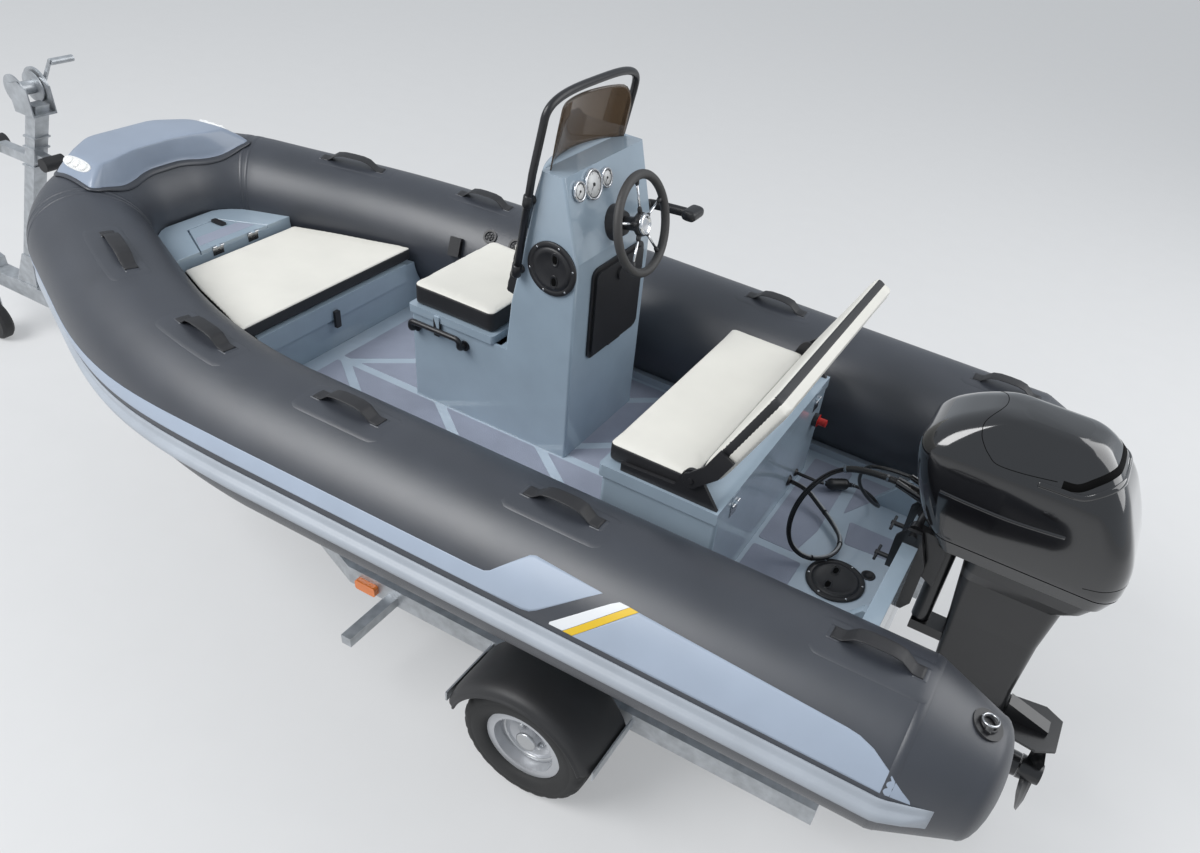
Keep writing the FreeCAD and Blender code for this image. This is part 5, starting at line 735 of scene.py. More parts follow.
flange = rounded_outline(PAD_FLANGE, 0.045)
foot = inset_outline(flange, 0.016)
top = rounded_outline(PAD_TOP, 0.036)
rows = []
for distance, lift in ((0.007, -0.010), (0.007, 0.002), (0.0005, 0.0035), (0.0, 0.006), (0.003, 0.0092),
                       (0.012, 0.0105), (0.0145, 0.0085), (0.016, 0.0095)):
    rows.append([boat(p.x, p.y, tube_top(p) + lift) for p in inset_outline(flange, distance)])
for share, rise in ((0.10, 0.16), (0.3, 0.40), (0.6, 0.70), (0.82, 0.91), (0.93, 0.975), (1.0, 1.0)):
    row = []
    for a, b in zip(foot, top):
        p = a.lerp(b, share)
        low = tube_top(a) + 0.0095
        row.append(boat(p.x, p.y, low + (PAD_TOP_Z - low) * rise))
    rows.append(row)
for share, rise in ((0.95, 0.0010), (0.7, 0.0018), (0.35, 0.0022), (0.04, 0.0022)):
    rows.append([boat(PAD_MID_X + (p.x - PAD_MID_X) * share, p.y * share, PAD_TOP_Z + rise) for p in top])
verts, faces = grid(rows, wrap=True, close_ends=True)
flange_faces = 6 * len(flange)
pad = add_piece("bow_step", verts, faces, "pad_plastic", ["pad", "tube"],
                tags=[1] * flange_faces + [0] * (len(faces) - flange_faces))
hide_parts("bow_pad")

# Oval lamps on the pad's end walls, each with three bulbs
lamp_bodies = []
lamp_bulbs = []
for side in SIDES:
    u = Vector((-side, 0.06, 0.0)).normalized()
    n = Vector((0.0, side * 0.60, 0.80)).normalized()
    w = n.cross(u).normalized()
    centre = boat(1.985, side * 0.302, 0.5445)
    lamp_bodies.append(round_form(centre, u, w, [(1.0, -0.012), (1.0, 0.004), (0.96, 0.0065), (0.90, 0.0065),
                                                 (0.86, 0.0045), (0.4, 0.0055), (0.03, 0.006)],
                                  a=0.073, b=0.0235, power=2.4))
    for shift in (-0.040, 0.0, 0.040):
        lamp_bulbs.append(round_form(centre + u * shift, u, w,
                                     [(0.016, 0.004), (0.0155, 0.008), (0.012, 0.0112), (0.006, 0.0126),
                                      (0.0005, 0.013)], steps=28))
lamp = add_piece("lamp_bodies", *join_parts(lamp_bodies), "lens", "dial")
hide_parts("nav_lamps")
add_piece("lamp_bulbs", *join_parts(lamp_bulbs), "lens", "bulb")


# Cushions: an inflated cloth form with a cream face, black sides and a pressed seam between them
def main_normal(mesh, toward):
    """Direction of the largest flat area that faces roughly one way."""
    areas = {}
    for face in mesh.polygons:
        if face.normal.dot(toward) > 0.5:
            key = tuple(round(c, 2) for c in face.normal)
            areas[key] = areas.get(key, 0.0) + face.area
    return Vector(max(areas, key=areas.get)).normalized()


def evaluated_mesh(obj):
    graph = bpy.context.evaluated_depsgraph_get()
    return bpy.data.meshes.new_from_object(obj.evaluated_get(graph))


CUSHION_SHRINK = 0.0035
CUSHION_CAP = 0.005
CLOTH_FRAMES = 20
SEAM_FROM_FACE = 0.004
SEAM_DEPTH = 0.0016
BACKREST_COVER = 0.52


def cushion(node, name, body, toward, voxel, both_faces):
    """Padded piece made from a CAD cushion, cream on its face or on both faces."""
    obj = bpy.data.objects.new(name, NODES[node].data.copy())
    bpy.context.scene.collection.objects.link(obj)
    mesh = obj.data
    up = main_normal(mesh, Vector(toward))
    low, high = (Vector(p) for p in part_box(node))
    middle = (low + high) / 2.0
    size = high - low
    for v in mesh.vertices:
        v.co = Vector(middle[i] + (v.co[i] - middle[i]) * (size[i] - 2.0 * CUSHION_SHRINK) / size[i] for i in range(3))
    remesh = obj.modifiers.new("remesh", "REMESH")
    remesh.mode = "VOXEL"
    remesh.voxel_size = voxel
    obj.data = evaluated_mesh(obj)
    obj.modifiers.clear()
    rest = [v.co.copy() for v in obj.data.vertices]
    cloth = obj.modifiers.new("cloth", "CLOTH")
    cloth.settings.use_pressure = True
    cloth.settings.uniform_pressure_force = 4.0
    cloth.settings.effector_weights.gravity = 0.0
    scene = bpy.context.scene
    for frame_number in range(1, CLOTH_FRAMES + 1):
        scene.frame_set(frame_number)
    obj.data = evaluated_mesh(obj)
    obj.modifiers.clear()
    scene.frame_set(1)
    back = min(p.dot(up) for p in rest)
    for v, p in zip(obj.data.vertices, rest):
        moved = v.co - p
        if moved.length > CUSHION_CAP:
            moved *= CUSHION_CAP / moved.length
        v.co = p + moved
        if not both_faces and v.co.dot(up) < back:
            v.co += up * (back - v.co.dot(up))
    face_level = max(p.dot(up) for p in rest)
    work = bmesh.new()
    work.from_mesh(obj.data)
    cover = BACKREST_COVER * (face_level - back) if node == "helm_backrest" else SEAM_FROM_FACE
    levels = [(face_level - SEAM_FROM_FACE, 1.0)] + ([(back + cover, -1.0)] if both_faces else [])
    for level, _ in levels:
        cut = bmesh.ops.bisect_plane(work, geom=work.verts[:] + work.edges[:] + work.faces[:], plane_co=up * level,
                                     plane_no=up, dist=0.0004)
        ring = [v for v in cut["geom_cut"] if isinstance(v, bmesh.types.BMVert)]
        work.normal_update()
        for v in ring:
            v.co -= v.normal * SEAM_DEPTH
    for face in work.faces:
        at = face.calc_center_median().dot(up)
        face.material_index = 0 if any((at - level) * way > 0.0 for level, way in levels) else 1
        face.smooth = True
    obj.data.materials.clear()
    obj.data.materials.append(MAT["cream"])
    obj.data.materials.append(MAT["black_vinyl"])
    work.to_mesh(obj.data)
    work.free()
    smoother = obj.modifiers.new("smooth", "SUBSURF")
    smoother.levels = 1
    smoother.render_levels = 1
    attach(obj, body)
    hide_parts(node)


CUSHIONS = [
    ("bow_cushion", "bow_pad_cushion", "bow_lid", (0, 0, 1), 0.008, False),
    ("front_seat_cushion", "front_cushion", "front_seat_lid", (0, 0, 1), 0.0065, False),
    ("helm_cushion", "helm_seat_cushion", "helm_lid", (0, 0, 1), 0.0075, False),
    ("helm_backrest", "helm_back_cushion", "helm_backrest", (1, 0, 0.4), 0.0075, True),
    ("front_backrest", "front_back_cushion", "boat", (1, 0, 0.2), 0.0065, True),
]
for row in CUSHIONS:
    cushion(*row)


# Anti-slip panels, laid on the glossy floor with gloss lines left between them
def clip(shape, at, normal):
    """Part of a plan shape on one side of a line."""
    out = []
    for i, p in enumerate(shape):
        q = shape[(i + 1) % len(shape)]
        dp = (p - at).dot(normal)
        dq = (q - at).dot(normal)
        if dp >= 0.0:
            out.append(p)
        if (dp >= 0.0) != (dq >= 0.0):
            out.append(p + (q - p) * (dp / (dp - dq)))
    return out if len(out) > 2 else None


def split_by(shapes, a, b, gap):
    """Plan shapes split along a line, with a gap between the halves."""
    a = Vector(a)
    along = (Vector(b) - a).normalized()
    across = Vector((-along.y, along.x))
    out = []
    for shape in shapes:
        for way in (1.0, -1.0):
            part = clip(shape, a + across * way * gap / 2.0, across * way)
            if part:
                out.append(part)
    return out


GRIP_EDGE = 0.0015


def thin_panel(shape, z, thick=0.0012):
    """Thin raised panel with a sloping edge."""
    middle = sum(shape, Vector((0.0, 0.0))) / len(shape)
    top = [middle + (p - middle) * (1.0 - GRIP_EDGE / (p - middle).length) for p in shape]
    rows = [[boat(p.x, p.y, z) for p in shape], [boat(p.x, p.y, z + thick) for p in top]]
    return grid(rows, wrap=True, close_ends=True)


FLOOR_LINE = 0.034
PORT_STRIP = [(-0.335, 0.088), (1.036, 0.088), (1.036, 0.50), (0.60, 0.525), (-0.335, 0.525)]
STBD_STRIP = [(-0.335, -0.525), (0.60, -0.525), (1.036, -0.50), (1.036, 0.054), (-0.335, 0.054)]
BRANCH_X = [1.005, 0.556, 0.107]
BRANCH_Y = 0.078
BRANCH_RUN = 0.194
panels = []
for strip, end_y in ((PORT_STRIP, 0.226), (STBD_STRIP, -0.084)):
    shapes = [[Vector(p) for p in strip]]
    for x in BRANCH_X:
        shapes = split_by(shapes, (x, BRANCH_Y), (x - BRANCH_RUN, end_y), FLOOR_LINE)
    panels.extend(thin_panel(rounded_outline(shape, 0.006, 2, 2), 0.0) for shape in shapes)
add_piece("floor_grip", *join_parts(panels), "deck_floor", "grip", smooth=False)
HATCH_GRIP = [(1.640, -0.135), (1.700, -0.100), (1.700, 0.100), (1.640, 0.135)]
hatch_grip = thin_panel(rounded_outline([Vector(p) for p in HATCH_GRIP], 0.008, 3, 2), 0.285, thick=0.0008)
add_piece("hatch_grip", *hatch_grip, "deck_floor", "grip", body="fore_hatch", smooth=False)

# Round inspection hatches: console side and splash well, each with six screws and two finger recesses
hatch_discs = []
hatch_screws = []
recess_shade_sheets = []
HATCHES = [(boat(0.088, 0.0805, 0.706), Vector((-1, 0, 0)), Vector((0, 0, 1)), 0.089),
           (boat(-1.050, 0.090, 0.0005), Vector((1, 0, 0)), Vector((0, 1, 0)), 0.098)]
for centre, u, w, r in HATCHES:
    hatch_discs.append(round_form(centre, u, w, [(r, 0.0), (r, 0.006), (r - 0.002, 0.0078), (r - 0.015, 0.0082),
                                                 (r - 0.017, 0.0065), (r - 0.019, 0.0065), (r - 0.021, 0.0092),
                                                 (r - 0.026, 0.0108), (r - 0.034, 0.0112), (r - 0.038, 0.0092),
                                                 (0.02, 0.0092), (0.001, 0.0094)], steps=72))
    for i in range(6):
        a = math.radians(12.0 + 60.0 * i)
        at = centre + around(u, w, a) * (r - 0.0085)
        hatch_screws.append(round_form(at, u, w, [(0.0038, 0.008), (0.0038, 0.0092), (0.0030, 0.0098),
                                                  (0.0004, 0.0098)], steps=16))
    for way in (1.0, -1.0):
        at = centre + (u * 0.35 + w * way).normalized() * 0.040
        hatch_discs.append(round_form(at, u, w, [(1.0, 0.0088), (1.0, 0.0112), (0.80, 0.0116), (0.76, 0.0100),
                                                 (0.01, 0.0094)], a=0.013, b=0.024, steps=32, power=2.4))
        # Dark oval sheet over each finger recess: painted shade
        recess_shade_sheets.append(round_form(at, u, w, [(0.74, 0.0097), (0.5, 0.0102), (0.01, 0.0103)], a=0.013, b=0.024,
                                      steps=24))
discs = add_piece("hatch_discs", *join_parts(hatch_discs), "black_plastic", "black")
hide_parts("inspection_hatches")
add_piece("hatch_screws", *join_parts(hatch_screws), "stainless", "stainless")
add_piece("hatch_recess_painted_shade", *join_parts(recess_shade_sheets), "black_plastic", "dark_gap")

# Dash: gauges and steering wheel share its slope
DASH_SLOPE = math.atan2(0.064, 0.257)
DASH_OUT = Vector((-math.cos(DASH_SLOPE), 0.0, math.sin(DASH_SLOPE)))
DASH_UP = Vector((math.sin(DASH_SLOPE), 0.0, math.cos(DASH_SLOPE)))
DASH_SIDE = DASH_UP.cross(DASH_OUT)
GAUGES = [(0.018, 0.0315), (-0.060, 0.047), (-0.138, 0.0315)]
bezels = []
dials = []
marks = []
for y, r in GAUGES:
    centre = boat(0.046, y, 0.949)
    bezels.append(round_form(centre, DASH_SIDE, DASH_UP, [(r, -0.005), (r, 0.003), (r - 0.0015, 0.0052),
                                                          (r - 0.004, 0.006), (r - 0.0065, 0.0048),
                                                          (r - 0.0075, 0.0022), (r - 0.0077, 0.0005)], steps=56))
    dials.append(round_form(centre, DASH_SIDE, DASH_UP, [(r - 0.0072, 0.0005), (r - 0.0076, 0.0028),
                                                         (0.0003, 0.0028)], steps=40))
    face = centre + DASH_OUT * 0.0030
    for i in range(13):
        a = math.radians(-135.0 + 22.5 * i)
        along = around(DASH_UP, DASH_SIDE, a)
        across = DASH_OUT.cross(along)
        inner = 0.60 if i % 3 == 0 else 0.70
        quad = [face + along * (r * inner) - across * 0.0006, face + along * (r * inner) + across * 0.0006,
                face + along * (r * 0.76) + across * 0.0006, face + along * (r * 0.76) - across * 0.0006]
        marks.append(([*quad, *[p + DASH_OUT * 0.0004 for p in quad]],
                      [(3, 2, 1, 0), (4, 5, 6, 7), (0, 1, 5, 4), (1, 2, 6, 5), (2, 3, 7, 6), (3, 0, 4, 7)]))
    # Thin black ring just inside the bezel: painted shade of the bezel on the dial
    marks.append(tube_along([face + around(DASH_UP, DASH_SIDE, a) * (r - 0.0088)
                             for a in (2.0 * math.pi * i / 40 for i in range(41))], 0.0010, sides=8))
    needle = (DASH_UP * -0.6 + DASH_SIDE * -0.8).normalized()
    marks.append(tube_along([face - needle * r * 0.12 + DASH_OUT * 0.0012, face + needle * r * 0.55 +
                             DASH_OUT * 0.0012], [0.0010, 0.0004], sides=6))
    marks.append(round_form(face, DASH_SIDE, DASH_UP, [(r * 0.12, 0.0), (r * 0.11, 0.0022), (0.0003, 0.0026)],
                            steps=20))
gauge_rings = add_piece("gauge_bezels", *join_parts(bezels), "gauge", "chrome")
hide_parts("gauges")
add_piece("gauge_dials", *join_parts(dials), "gauge", "dial")
add_piece("gauge_marks_and_shade_ring", *join_parts(marks), "black_plastic", "black", smooth=False)

# Steering wheel: a round grip, five rods with sleeves at both ends, and the boss
WHEEL_AT = boat(-0.0865, -0.157, 0.8315)
WHEEL_R = 0.151
RIM_SECTION = 0.0145
SPOKES = 5
rim_rows = []
for a in turns(96):
    out = around(DASH_UP, DASH_SIDE, a)
    rim_rows.append([WHEEL_AT + out * (WHEEL_R + RIM_SECTION * math.cos(b)) + DASH_OUT * RIM_SECTION * math.sin(b)
                     for b in turns(18)])
rim_rows.append(rim_rows[0])
rim = add_piece("wheel_rim", *grid(rim_rows, wrap=True), "black_plastic", "grip_rim", body="steering_wheel")
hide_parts("steering_wheel")
roots = [lathe([(-0.062, 0.0005), (-0.062, 0.019), (-0.058, 0.021), (-0.030, 0.022), (-0.018, 0.030), (-0.012, 0.037),
                (-0.002, 0.038), (0.005, 0.036), (0.006, 0.002)], WHEEL_AT, DASH_OUT)]
rods = [lathe([(0.003, 0.0345), (0.010, 0.0345), (0.014, 0.033), (0.0165, 0.029), (0.0160, 0.0255), (0.0115, 0.0235),
               (0.0125, 0.015), (0.0145, 0.006), (0.0150, 0.0004)], WHEEL_AT, DASH_OUT)]
at = WHEEL_AT - DASH_OUT * 0.004
for a in turns(SPOKES):
    out = around(DASH_UP, DASH_SIDE, a)
    rods.append(tube_along([at + out * 0.028, at + out * (WHEEL_R - 0.006)], 0.0042, sides=12))
    roots.append(tube_along([at + out * 0.030, at + out * 0.050, at + out * 0.056], [0.0085, 0.0075, 0.0045], sides=14))
    roots.append(tube_along([at + out * (WHEEL_R - 0.030), at + out * (WHEEL_R - 0.024), at + out * WHEEL_R],
                            [0.0045, 0.0075, 0.010], sides=14))
add_piece("wheel_hub", *join_parts(roots), "black_plastic", "black", body="steering_wheel")
add_piece("wheel_spokes", *join_parts(rods), "stainless", "chrome", body="steering_wheel")

# Screen hoop: its port leg's points, mirrored about the console's middle
CONSOLE_MID_Y = -0.1565
HOOP_HALF = 0.2585
HOOP_R = 0.012
HOOP_LEG = [(0.208, 0.655), (0.159, 0.991)]
HOOP_ARCH_X = 0.128
HOOP_ARCH_Z = 1.140
HOOP_LEAN = 0.014
HOOP_RISE = 0.080
HOOP_POWER = 0.62
HOOP_STEPS = 32
hoop_line = [boat(x, CONSOLE_MID_Y + HOOP_HALF, z) for x, z in HOOP_LEG]
for i in range(HOOP_STEPS + 1):
    a = math.pi * i / HOOP_STEPS
    across = signed_power(math.cos(a), HOOP_POWER)
    lift = abs(math.sin(a)) ** HOOP_POWER
    hoop_line.append(boat(HOOP_ARCH_X - HOOP_LEAN * lift, CONSOLE_MID_Y + HOOP_HALF * across,
                          HOOP_ARCH_Z + HOOP_RISE * lift))
hoop_line.extend(boat(x, CONSOLE_MID_Y - HOOP_HALF, z) for x, z in reversed(HOOP_LEG))
hoop_parts = [tube_along(hoop_line, HOOP_R, sides=20)]
for side in SIDES:
    for x, z in ((0.206, 0.668), (0.172, 0.905)):
        y = CONSOLE_MID_Y + side * HOOP_HALF
        inner = CONSOLE_MID_Y + side * 0.2365
        hoop_parts.append(lathe([(0.0, 0.0005), (0.0, 0.016), (0.003, 0.016), (0.005, 0.009), (0.018, 0.009),
                                 (0.024, 0.0005)], boat(x, inner, z), (0, side, 0), steps=24))
        hoop_parts.append(tube_along([boat(x + 0.004, y, z - 0.020), boat(x + 0.003, y, z - 0.016),
                                      boat(x - 0.002, y, z + 0.016), boat(x - 0.003, y, z + 0.020)],
                                     [0.0125, 0.0155, 0.0155, 0.0125], sides=20))
hoop = add_piece("hoop", *join_parts(hoop_parts), "black_tube", "black_tube")
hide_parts("screen_hoop")

# Brow: the console's bowed front edge, which fades into the wall below it
BROW_HALF = 0.2315
BROW_BULGE = 0.058
BROW_TOP_Z = 0.9955
BROW_COLUMNS = 33
brow_rows = []
for rise, share in ((-0.0040, 0.0), (-0.0040, 0.96), (-0.0012, 0.99), (0.004, 1.0), (0.03, 0.95), (0.07, 0.80),
                    (0.11, 0.58), (0.15, 0.33), (0.18, 0.14), (0.20, 0.0)):
    row = []
    for i in range(BROW_COLUMNS):
        across = -1.0 + 2.0 * i / (BROW_COLUMNS - 1)
        wall = 0.143 + 0.29 * max(0.0, rise)
        bulge = BROW_BULGE * (1.0 - abs(across) ** 2.4) * share
        row.append(boat(wall + bulge, CONSOLE_MID_Y + BROW_HALF * across, BROW_TOP_Z - rise))
    brow_rows.append(row)
verts, faces = grid(brow_rows)
faces.append((*range(BROW_COLUMNS), *reversed(range(len(verts) - BROW_COLUMNS, len(verts)))))
add_piece("console_brow", verts, faces, "gelcoat", "gelcoat")

# Smoked screen: a bowed sheet with rounded top corners standing on the console's front edge
SCREEN_FOOT = [(0.058, 0.128), (-0.040, 0.172), (-0.157, 0.188), (-0.274, 0.172), (-0.368, 0.128)]
SCREEN_HEIGHT = 0.172
SCREEN_THICK = 0.0045
SCREEN_FOOT_Z = 1.0006
SCREEN_LEAN = 0.16
SCREEN_STEPS = 16
foot_line = spline_points([(y, x, 0.0) for y, x in SCREEN_FOOT], steps=8)
columns = len(foot_line)


def screen_face(setback):
    """Net of one face of the screen, from its foot to its top."""
    rows = []
    for i in range(SCREEN_STEPS + 1):
        row = []
        for j, p in enumerate(foot_line):
            share = abs(2.0 * j / (columns - 1) - 1.0)
            trim = 1.0 - 0.42 * max(0.0, (share - 0.70) / 0.30) ** 2.2
            z = SCREEN_FOOT_Z + SCREEN_HEIGHT * (i / SCREEN_STEPS) * trim
            row.append(boat(p.y - SCREEN_LEAN * (z - 1.0) - setback, p.x, z))
        rows.append(row)
    return rows


screen_rows = screen_face(0.0) + screen_face(SCREEN_THICK)[::-1]
last = len(screen_rows) - 1
screen_rows.append(screen_rows[0])
screen_verts, screen_faces = grid(screen_rows)
for j in (0, columns - 1):
    screen_faces.extend((i * columns + j, (i + 1) * columns + j, (last - i - 1) * columns + j, (last - i) * columns + j)
                        for i in range(SCREEN_STEPS))
screen = add_piece("screen_sheet", screen_verts, screen_faces, "screen", "screen")
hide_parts("windscreen")

# Throttle: flange on the console's side, a cranked arm and a grip
lever = [lathe([(0.0, 0.0005), (0.0, 0.036), (0.006, 0.036), (0.010, 0.033), (0.014, 0.020), (0.026, 0.018),
                (0.030, 0.0005)], boat(0.045, -0.3935, 0.780), (0, -1, 0)),
         tube_along(spline_points([boat(0.045, -0.412, 0.780), boat(0.020, -0.430, 0.782), boat(-0.060, -0.440, 0.785),
                                   boat(-0.128, -0.444, 0.788)], steps=6), 0.0165, sides=16),
         round_form(boat(-0.128, -0.398, 0.792), Vector((1, 0, 0)), Vector((0, 0, 1)),
                    [(0.02, 0.0), (0.80, 0.002), (0.97, 0.008), (1.0, 0.018), (1.0, 0.068), (0.96, 0.078),
                     (0.75, 0.085), (0.02, 0.087)], a=0.026, b=0.0180, steps=32, power=3.0)]
throttle = add_piece("throttle_lever", *join_parts(lever), "black_plastic", "black")
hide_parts("throttle")

# Engine cowl's lines: the top cap's seam, the air slot with the bright lip under it and the side creases.
# The points lie near the shell, and each line is drawn on it.
COWL_MIDDLE = boat(-1.45, 0.0, 0.56)
cowl_skin = BVHTree.FromPolygons([v.co for v in cowl.data.vertices], [tuple(f.vertices) for f in cowl.data.polygons])


def on_cowl(p, lift):
    """Nearest point of the shell to a point of the boat's frame, raised off it."""
    place, normal, _, _ = cowl_skin.find_nearest(boat(*p))
    if normal.dot(place - COWL_MIDDLE) < 0.0:
        normal = -normal
    return place + normal * lift


def both_sides(points):
    """Line from port over the middle to starboard."""
    return points + [(x, -y, z) for x, y, z in reversed(points) if y > 0.001]


def cowl_band(points, profile):
    """Strip on the shell: profile rows are (distance across, lift)."""
    line = spline_points(points, steps=10)
    rows = []
    for i, p in enumerate(line):
        base = on_cowl(p, 0.0)
        normal = (on_cowl(p, 0.01) - base).normalized()
        across = heading(line, i).cross(normal).normalized()
        if across.z < 0.0:
            across = -across
        rows.append([on_cowl(base + across * far - BOAT, lift) for far, lift in profile])
    return grid(rows, close_ends=True)


CAP_SEAM = [(-1.521, 0.139, 0.680), (-1.433, 0.145, 0.669), (-1.366, 0.145, 0.667), (-1.336, 0.139, 0.682),
            (-1.313, 0.128, 0.701), (-1.298, 0.117, 0.722), (-1.295, 0.090, 0.742), (-1.318, 0.045, 0.768),
            (-1.326, 0.0, 0.776)]
SLOT_LINE = [(-1.535, 0.140, 0.678), (-1.575, 0.136, 0.683), (-1.610, 0.112, 0.706), (-1.640, 0.060, 0.722),
             (-1.650, 0.0, 0.726)]
LIP_LINE = [(-1.480, 0.150, 0.660), (-1.532, 0.150, 0.662), (-1.592, 0.143, 0.664), (-1.636, 0.115, 0.684),
            (-1.668, 0.060, 0.700), (-1.676, 0.0, 0.703)]
SIDE_CREASE = [(-1.254, 0.17, 0.534), (-1.342, 0.17, 0.530), (-1.464, 0.17, 0.530), (-1.600, 0.168, 0.543)]
LOW_CREASE = [(-1.700, 0.160, 0.405), (-1.745, 0.152, 0.418), (-1.782, 0.120, 0.430), (-1.800, 0.0, 0.434)]
seam_profile = [(-0.0011, 0.0), (-0.0009, 0.0005), (0.0009, 0.0005), (0.0011, 0.0)]
slot_profile = [(-0.011, 0.0), (-0.0105, 0.0008), (0.0105, 0.0008), (0.011, 0.0)]
lip_profile = [(-0.009, 0.0), (-0.0085, 0.0018), (-0.004, 0.0034), (0.002, 0.0038), (0.0075, 0.0026), (0.009, 0.0)]
crease_profile = [(-0.0045, 0.0), (-0.002, 0.0014), (0.0, 0.0019), (0.002, 0.0013), (0.006, 0.0)]
# The cap seam, the low crease and the air slot are near-black strips: painted shade of the gap, the crease and the
# slot's inside
seams = [cowl_band(both_sides(CAP_SEAM), seam_profile), cowl_band(both_sides(LOW_CREASE), seam_profile)]
add_piece("cowl_seam_and_crease_shade", *join_parts(seams), "engine_gloss", "dark_gap", body="engine")
add_piece("cowl_slot_painted_shade", *cowl_band(both_sides(SLOT_LINE), slot_profile), "engine_gloss", "dark_gap", body="engine")
creases = [cowl_band(both_sides(LIP_LINE), lip_profile), cowl_band(SIDE_CREASE, crease_profile),
           cowl_band([(x, -y, z) for x, y, z in SIDE_CREASE], crease_profile)]
add_piece("cowl_creases", *join_parts(creases), "engine_gloss", "cowl", body="engine")

# Splash well floor: anti-slip fields with gloss borders, the drain and its ring
WELL_FIELDS = [
    [(-0.752, -0.50), (-0.752, 0.045), (-0.885, 0.045), (-0.912, -0.105), (-0.905, -0.50)],
    [(-0.752, 0.078), (-0.752, 0.50), (-0.925, 0.50), (-0.925, 0.078)],
    [(-0.945, -0.50), (-0.955, -0.250), (-1.065, -0.470), (-1.065, -0.50)],
    [(-0.990, -0.225), (-1.165, -0.225), (-1.170, -0.110), (-1.012, -0.100)],
]
fields = [thin_panel(list(reversed(rounded_outline([Vector(p) for p in shape], 0.012, 3, 3))), 0.0)
          for shape in WELL_FIELDS]
add_piece("well_grip", *join_parts(fields), "deck_floor", "grip", smooth=False)
drain_parts = [round_form(boat(-1.135, 0.0, 0.0), Vector((1, 0, 0)), Vector((0, 1, 0)),
                          [(0.024, 0.0), (0.024, 0.002), (0.022, 0.0032), (0.0165, 0.0032), (0.0155, 0.0012),
                           (0.0004, 0.001)], steps=36)]
add_piece("well_drain", *join_parts(drain_parts), "black_plastic", "black")

# Valves' star ribs, the stern rings and the taped seams of the air tube
star_parts = []
for x in (0.817, 0.688):
    place = place_at(x, -1.0)
    centre = skin(place, 135.0, 0.0055)
    n = (skin(place, 135.0, 1.0) - skin(place, 135.0, 0.0)).normalized()
    u = Vector((1, 0, 0))
    u = (u - n * u.dot(n)).normalized()
    w = n.cross(u)
    for i in range(6):
        out = around(u, w, math.pi * i / 3.0)
        star_parts.append(tube_along([centre + out * 0.005, centre + out * 0.019], [0.0035, 0.0022], sides=8))
    star_parts.append(round_form(centre, u, w, [(0.008, -0.004), (0.008, 0.0018), (0.006, 0.003), (0.0004, 0.0032)],
                                 steps=24))
add_piece("valve_stars", *join_parts(star_parts), "black_plastic", "black")
ring_parts = []
for side in SIDES:
    centre = boat(-1.583, side * TUBE_Y, 0.388)
    ring = [centre + Vector((0.020 * math.cos(a), side * 0.024 * math.sin(a), 0.006 * math.sin(a) * side))
            for a in (2.0 * math.pi * i / 36 for i in range(37))]
    ring_parts.append(tube_along(ring, 0.0030))
add_piece("stern_rings", *join_parts(ring_parts), "stainless", "stainless")


def tape_band(x, side, half):
    """Glued tape round the tube."""
    rows = []
    for far, lift in ((-half, 0.0), (-half + 0.0008, 0.0009), (half - 0.0008, 0.0009), (half, 0.0)):
        place = place_at(x + far, side)
        rows.append([skin(place, 5.0 * j, lift) for j in range(72)])
    return grid(rows, wrap=True)


tapes = [tape_band(x, side, half) for x, half in ((-1.432, 0.012), (1.868, 0.008), (1.896, 0.008))
         for side in SIDES]
add_piece("tube_tapes", *join_parts(tapes), "tube_fabric", "tube")

# Tyres: tread ribs, shoulder blocks and a moulded sidewall; profile rows are (place across, radius)
TYRE_PROFILE = [(-0.067, 0.1425), (-0.071, 0.1432), (-0.080, 0.1450), (-0.0875, 0.1500), (-0.0925, 0.1620),
                (-0.0946, 0.1780), (-0.0942, 0.1900), (-0.0930, 0.1930), (-0.0940, 0.1960), (-0.0925, 0.2090),
                (-0.0885, 0.2190), (-0.080, 0.2275), (-0.070, 0.2320), (-0.048, 0.2338),
                (-0.046, 0.2285), (-0.040, 0.2285), (-0.038, 0.2342), (-0.015, 0.2345), (-0.013, 0.2290),
                (-0.007, 0.2290), (-0.005, 0.2345)]
TYRE_PROFILE += [(-along, r) for along, r in reversed(TYRE_PROFILE)]
TYRE_STEPS = 144
SHOULDER_R = 0.215
SHOULDER_Y = 0.06
TREAD_CUT = 0.0035
AXLE_AT = (-0.364, 0.757, -0.5505)
for side, body, node in ((1.0, "wheel_port", "tyre_port"), (-1.0, "wheel_stbd", "tyre_stbd")):
    rows = []
    for j, a in enumerate(turns(TYRE_STEPS)):
        row = []
        for along, r in TYRE_PROFILE:
            if r > SHOULDER_R and abs(along) > SHOULDER_Y and j % 6 in (0, 1):
                r -= TREAD_CUT
            row.append(boat(AXLE_AT[0] + r * math.cos(a), side * AXLE_AT[1] + along, AXLE_AT[2] + r * math.sin(a)))
        rows.append(row)
    rows.append(rows[0])
    tyre = add_piece("tread_" + node, *grid(rows, wrap=True), "tyre", "tyre", body=body)
    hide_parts(node)

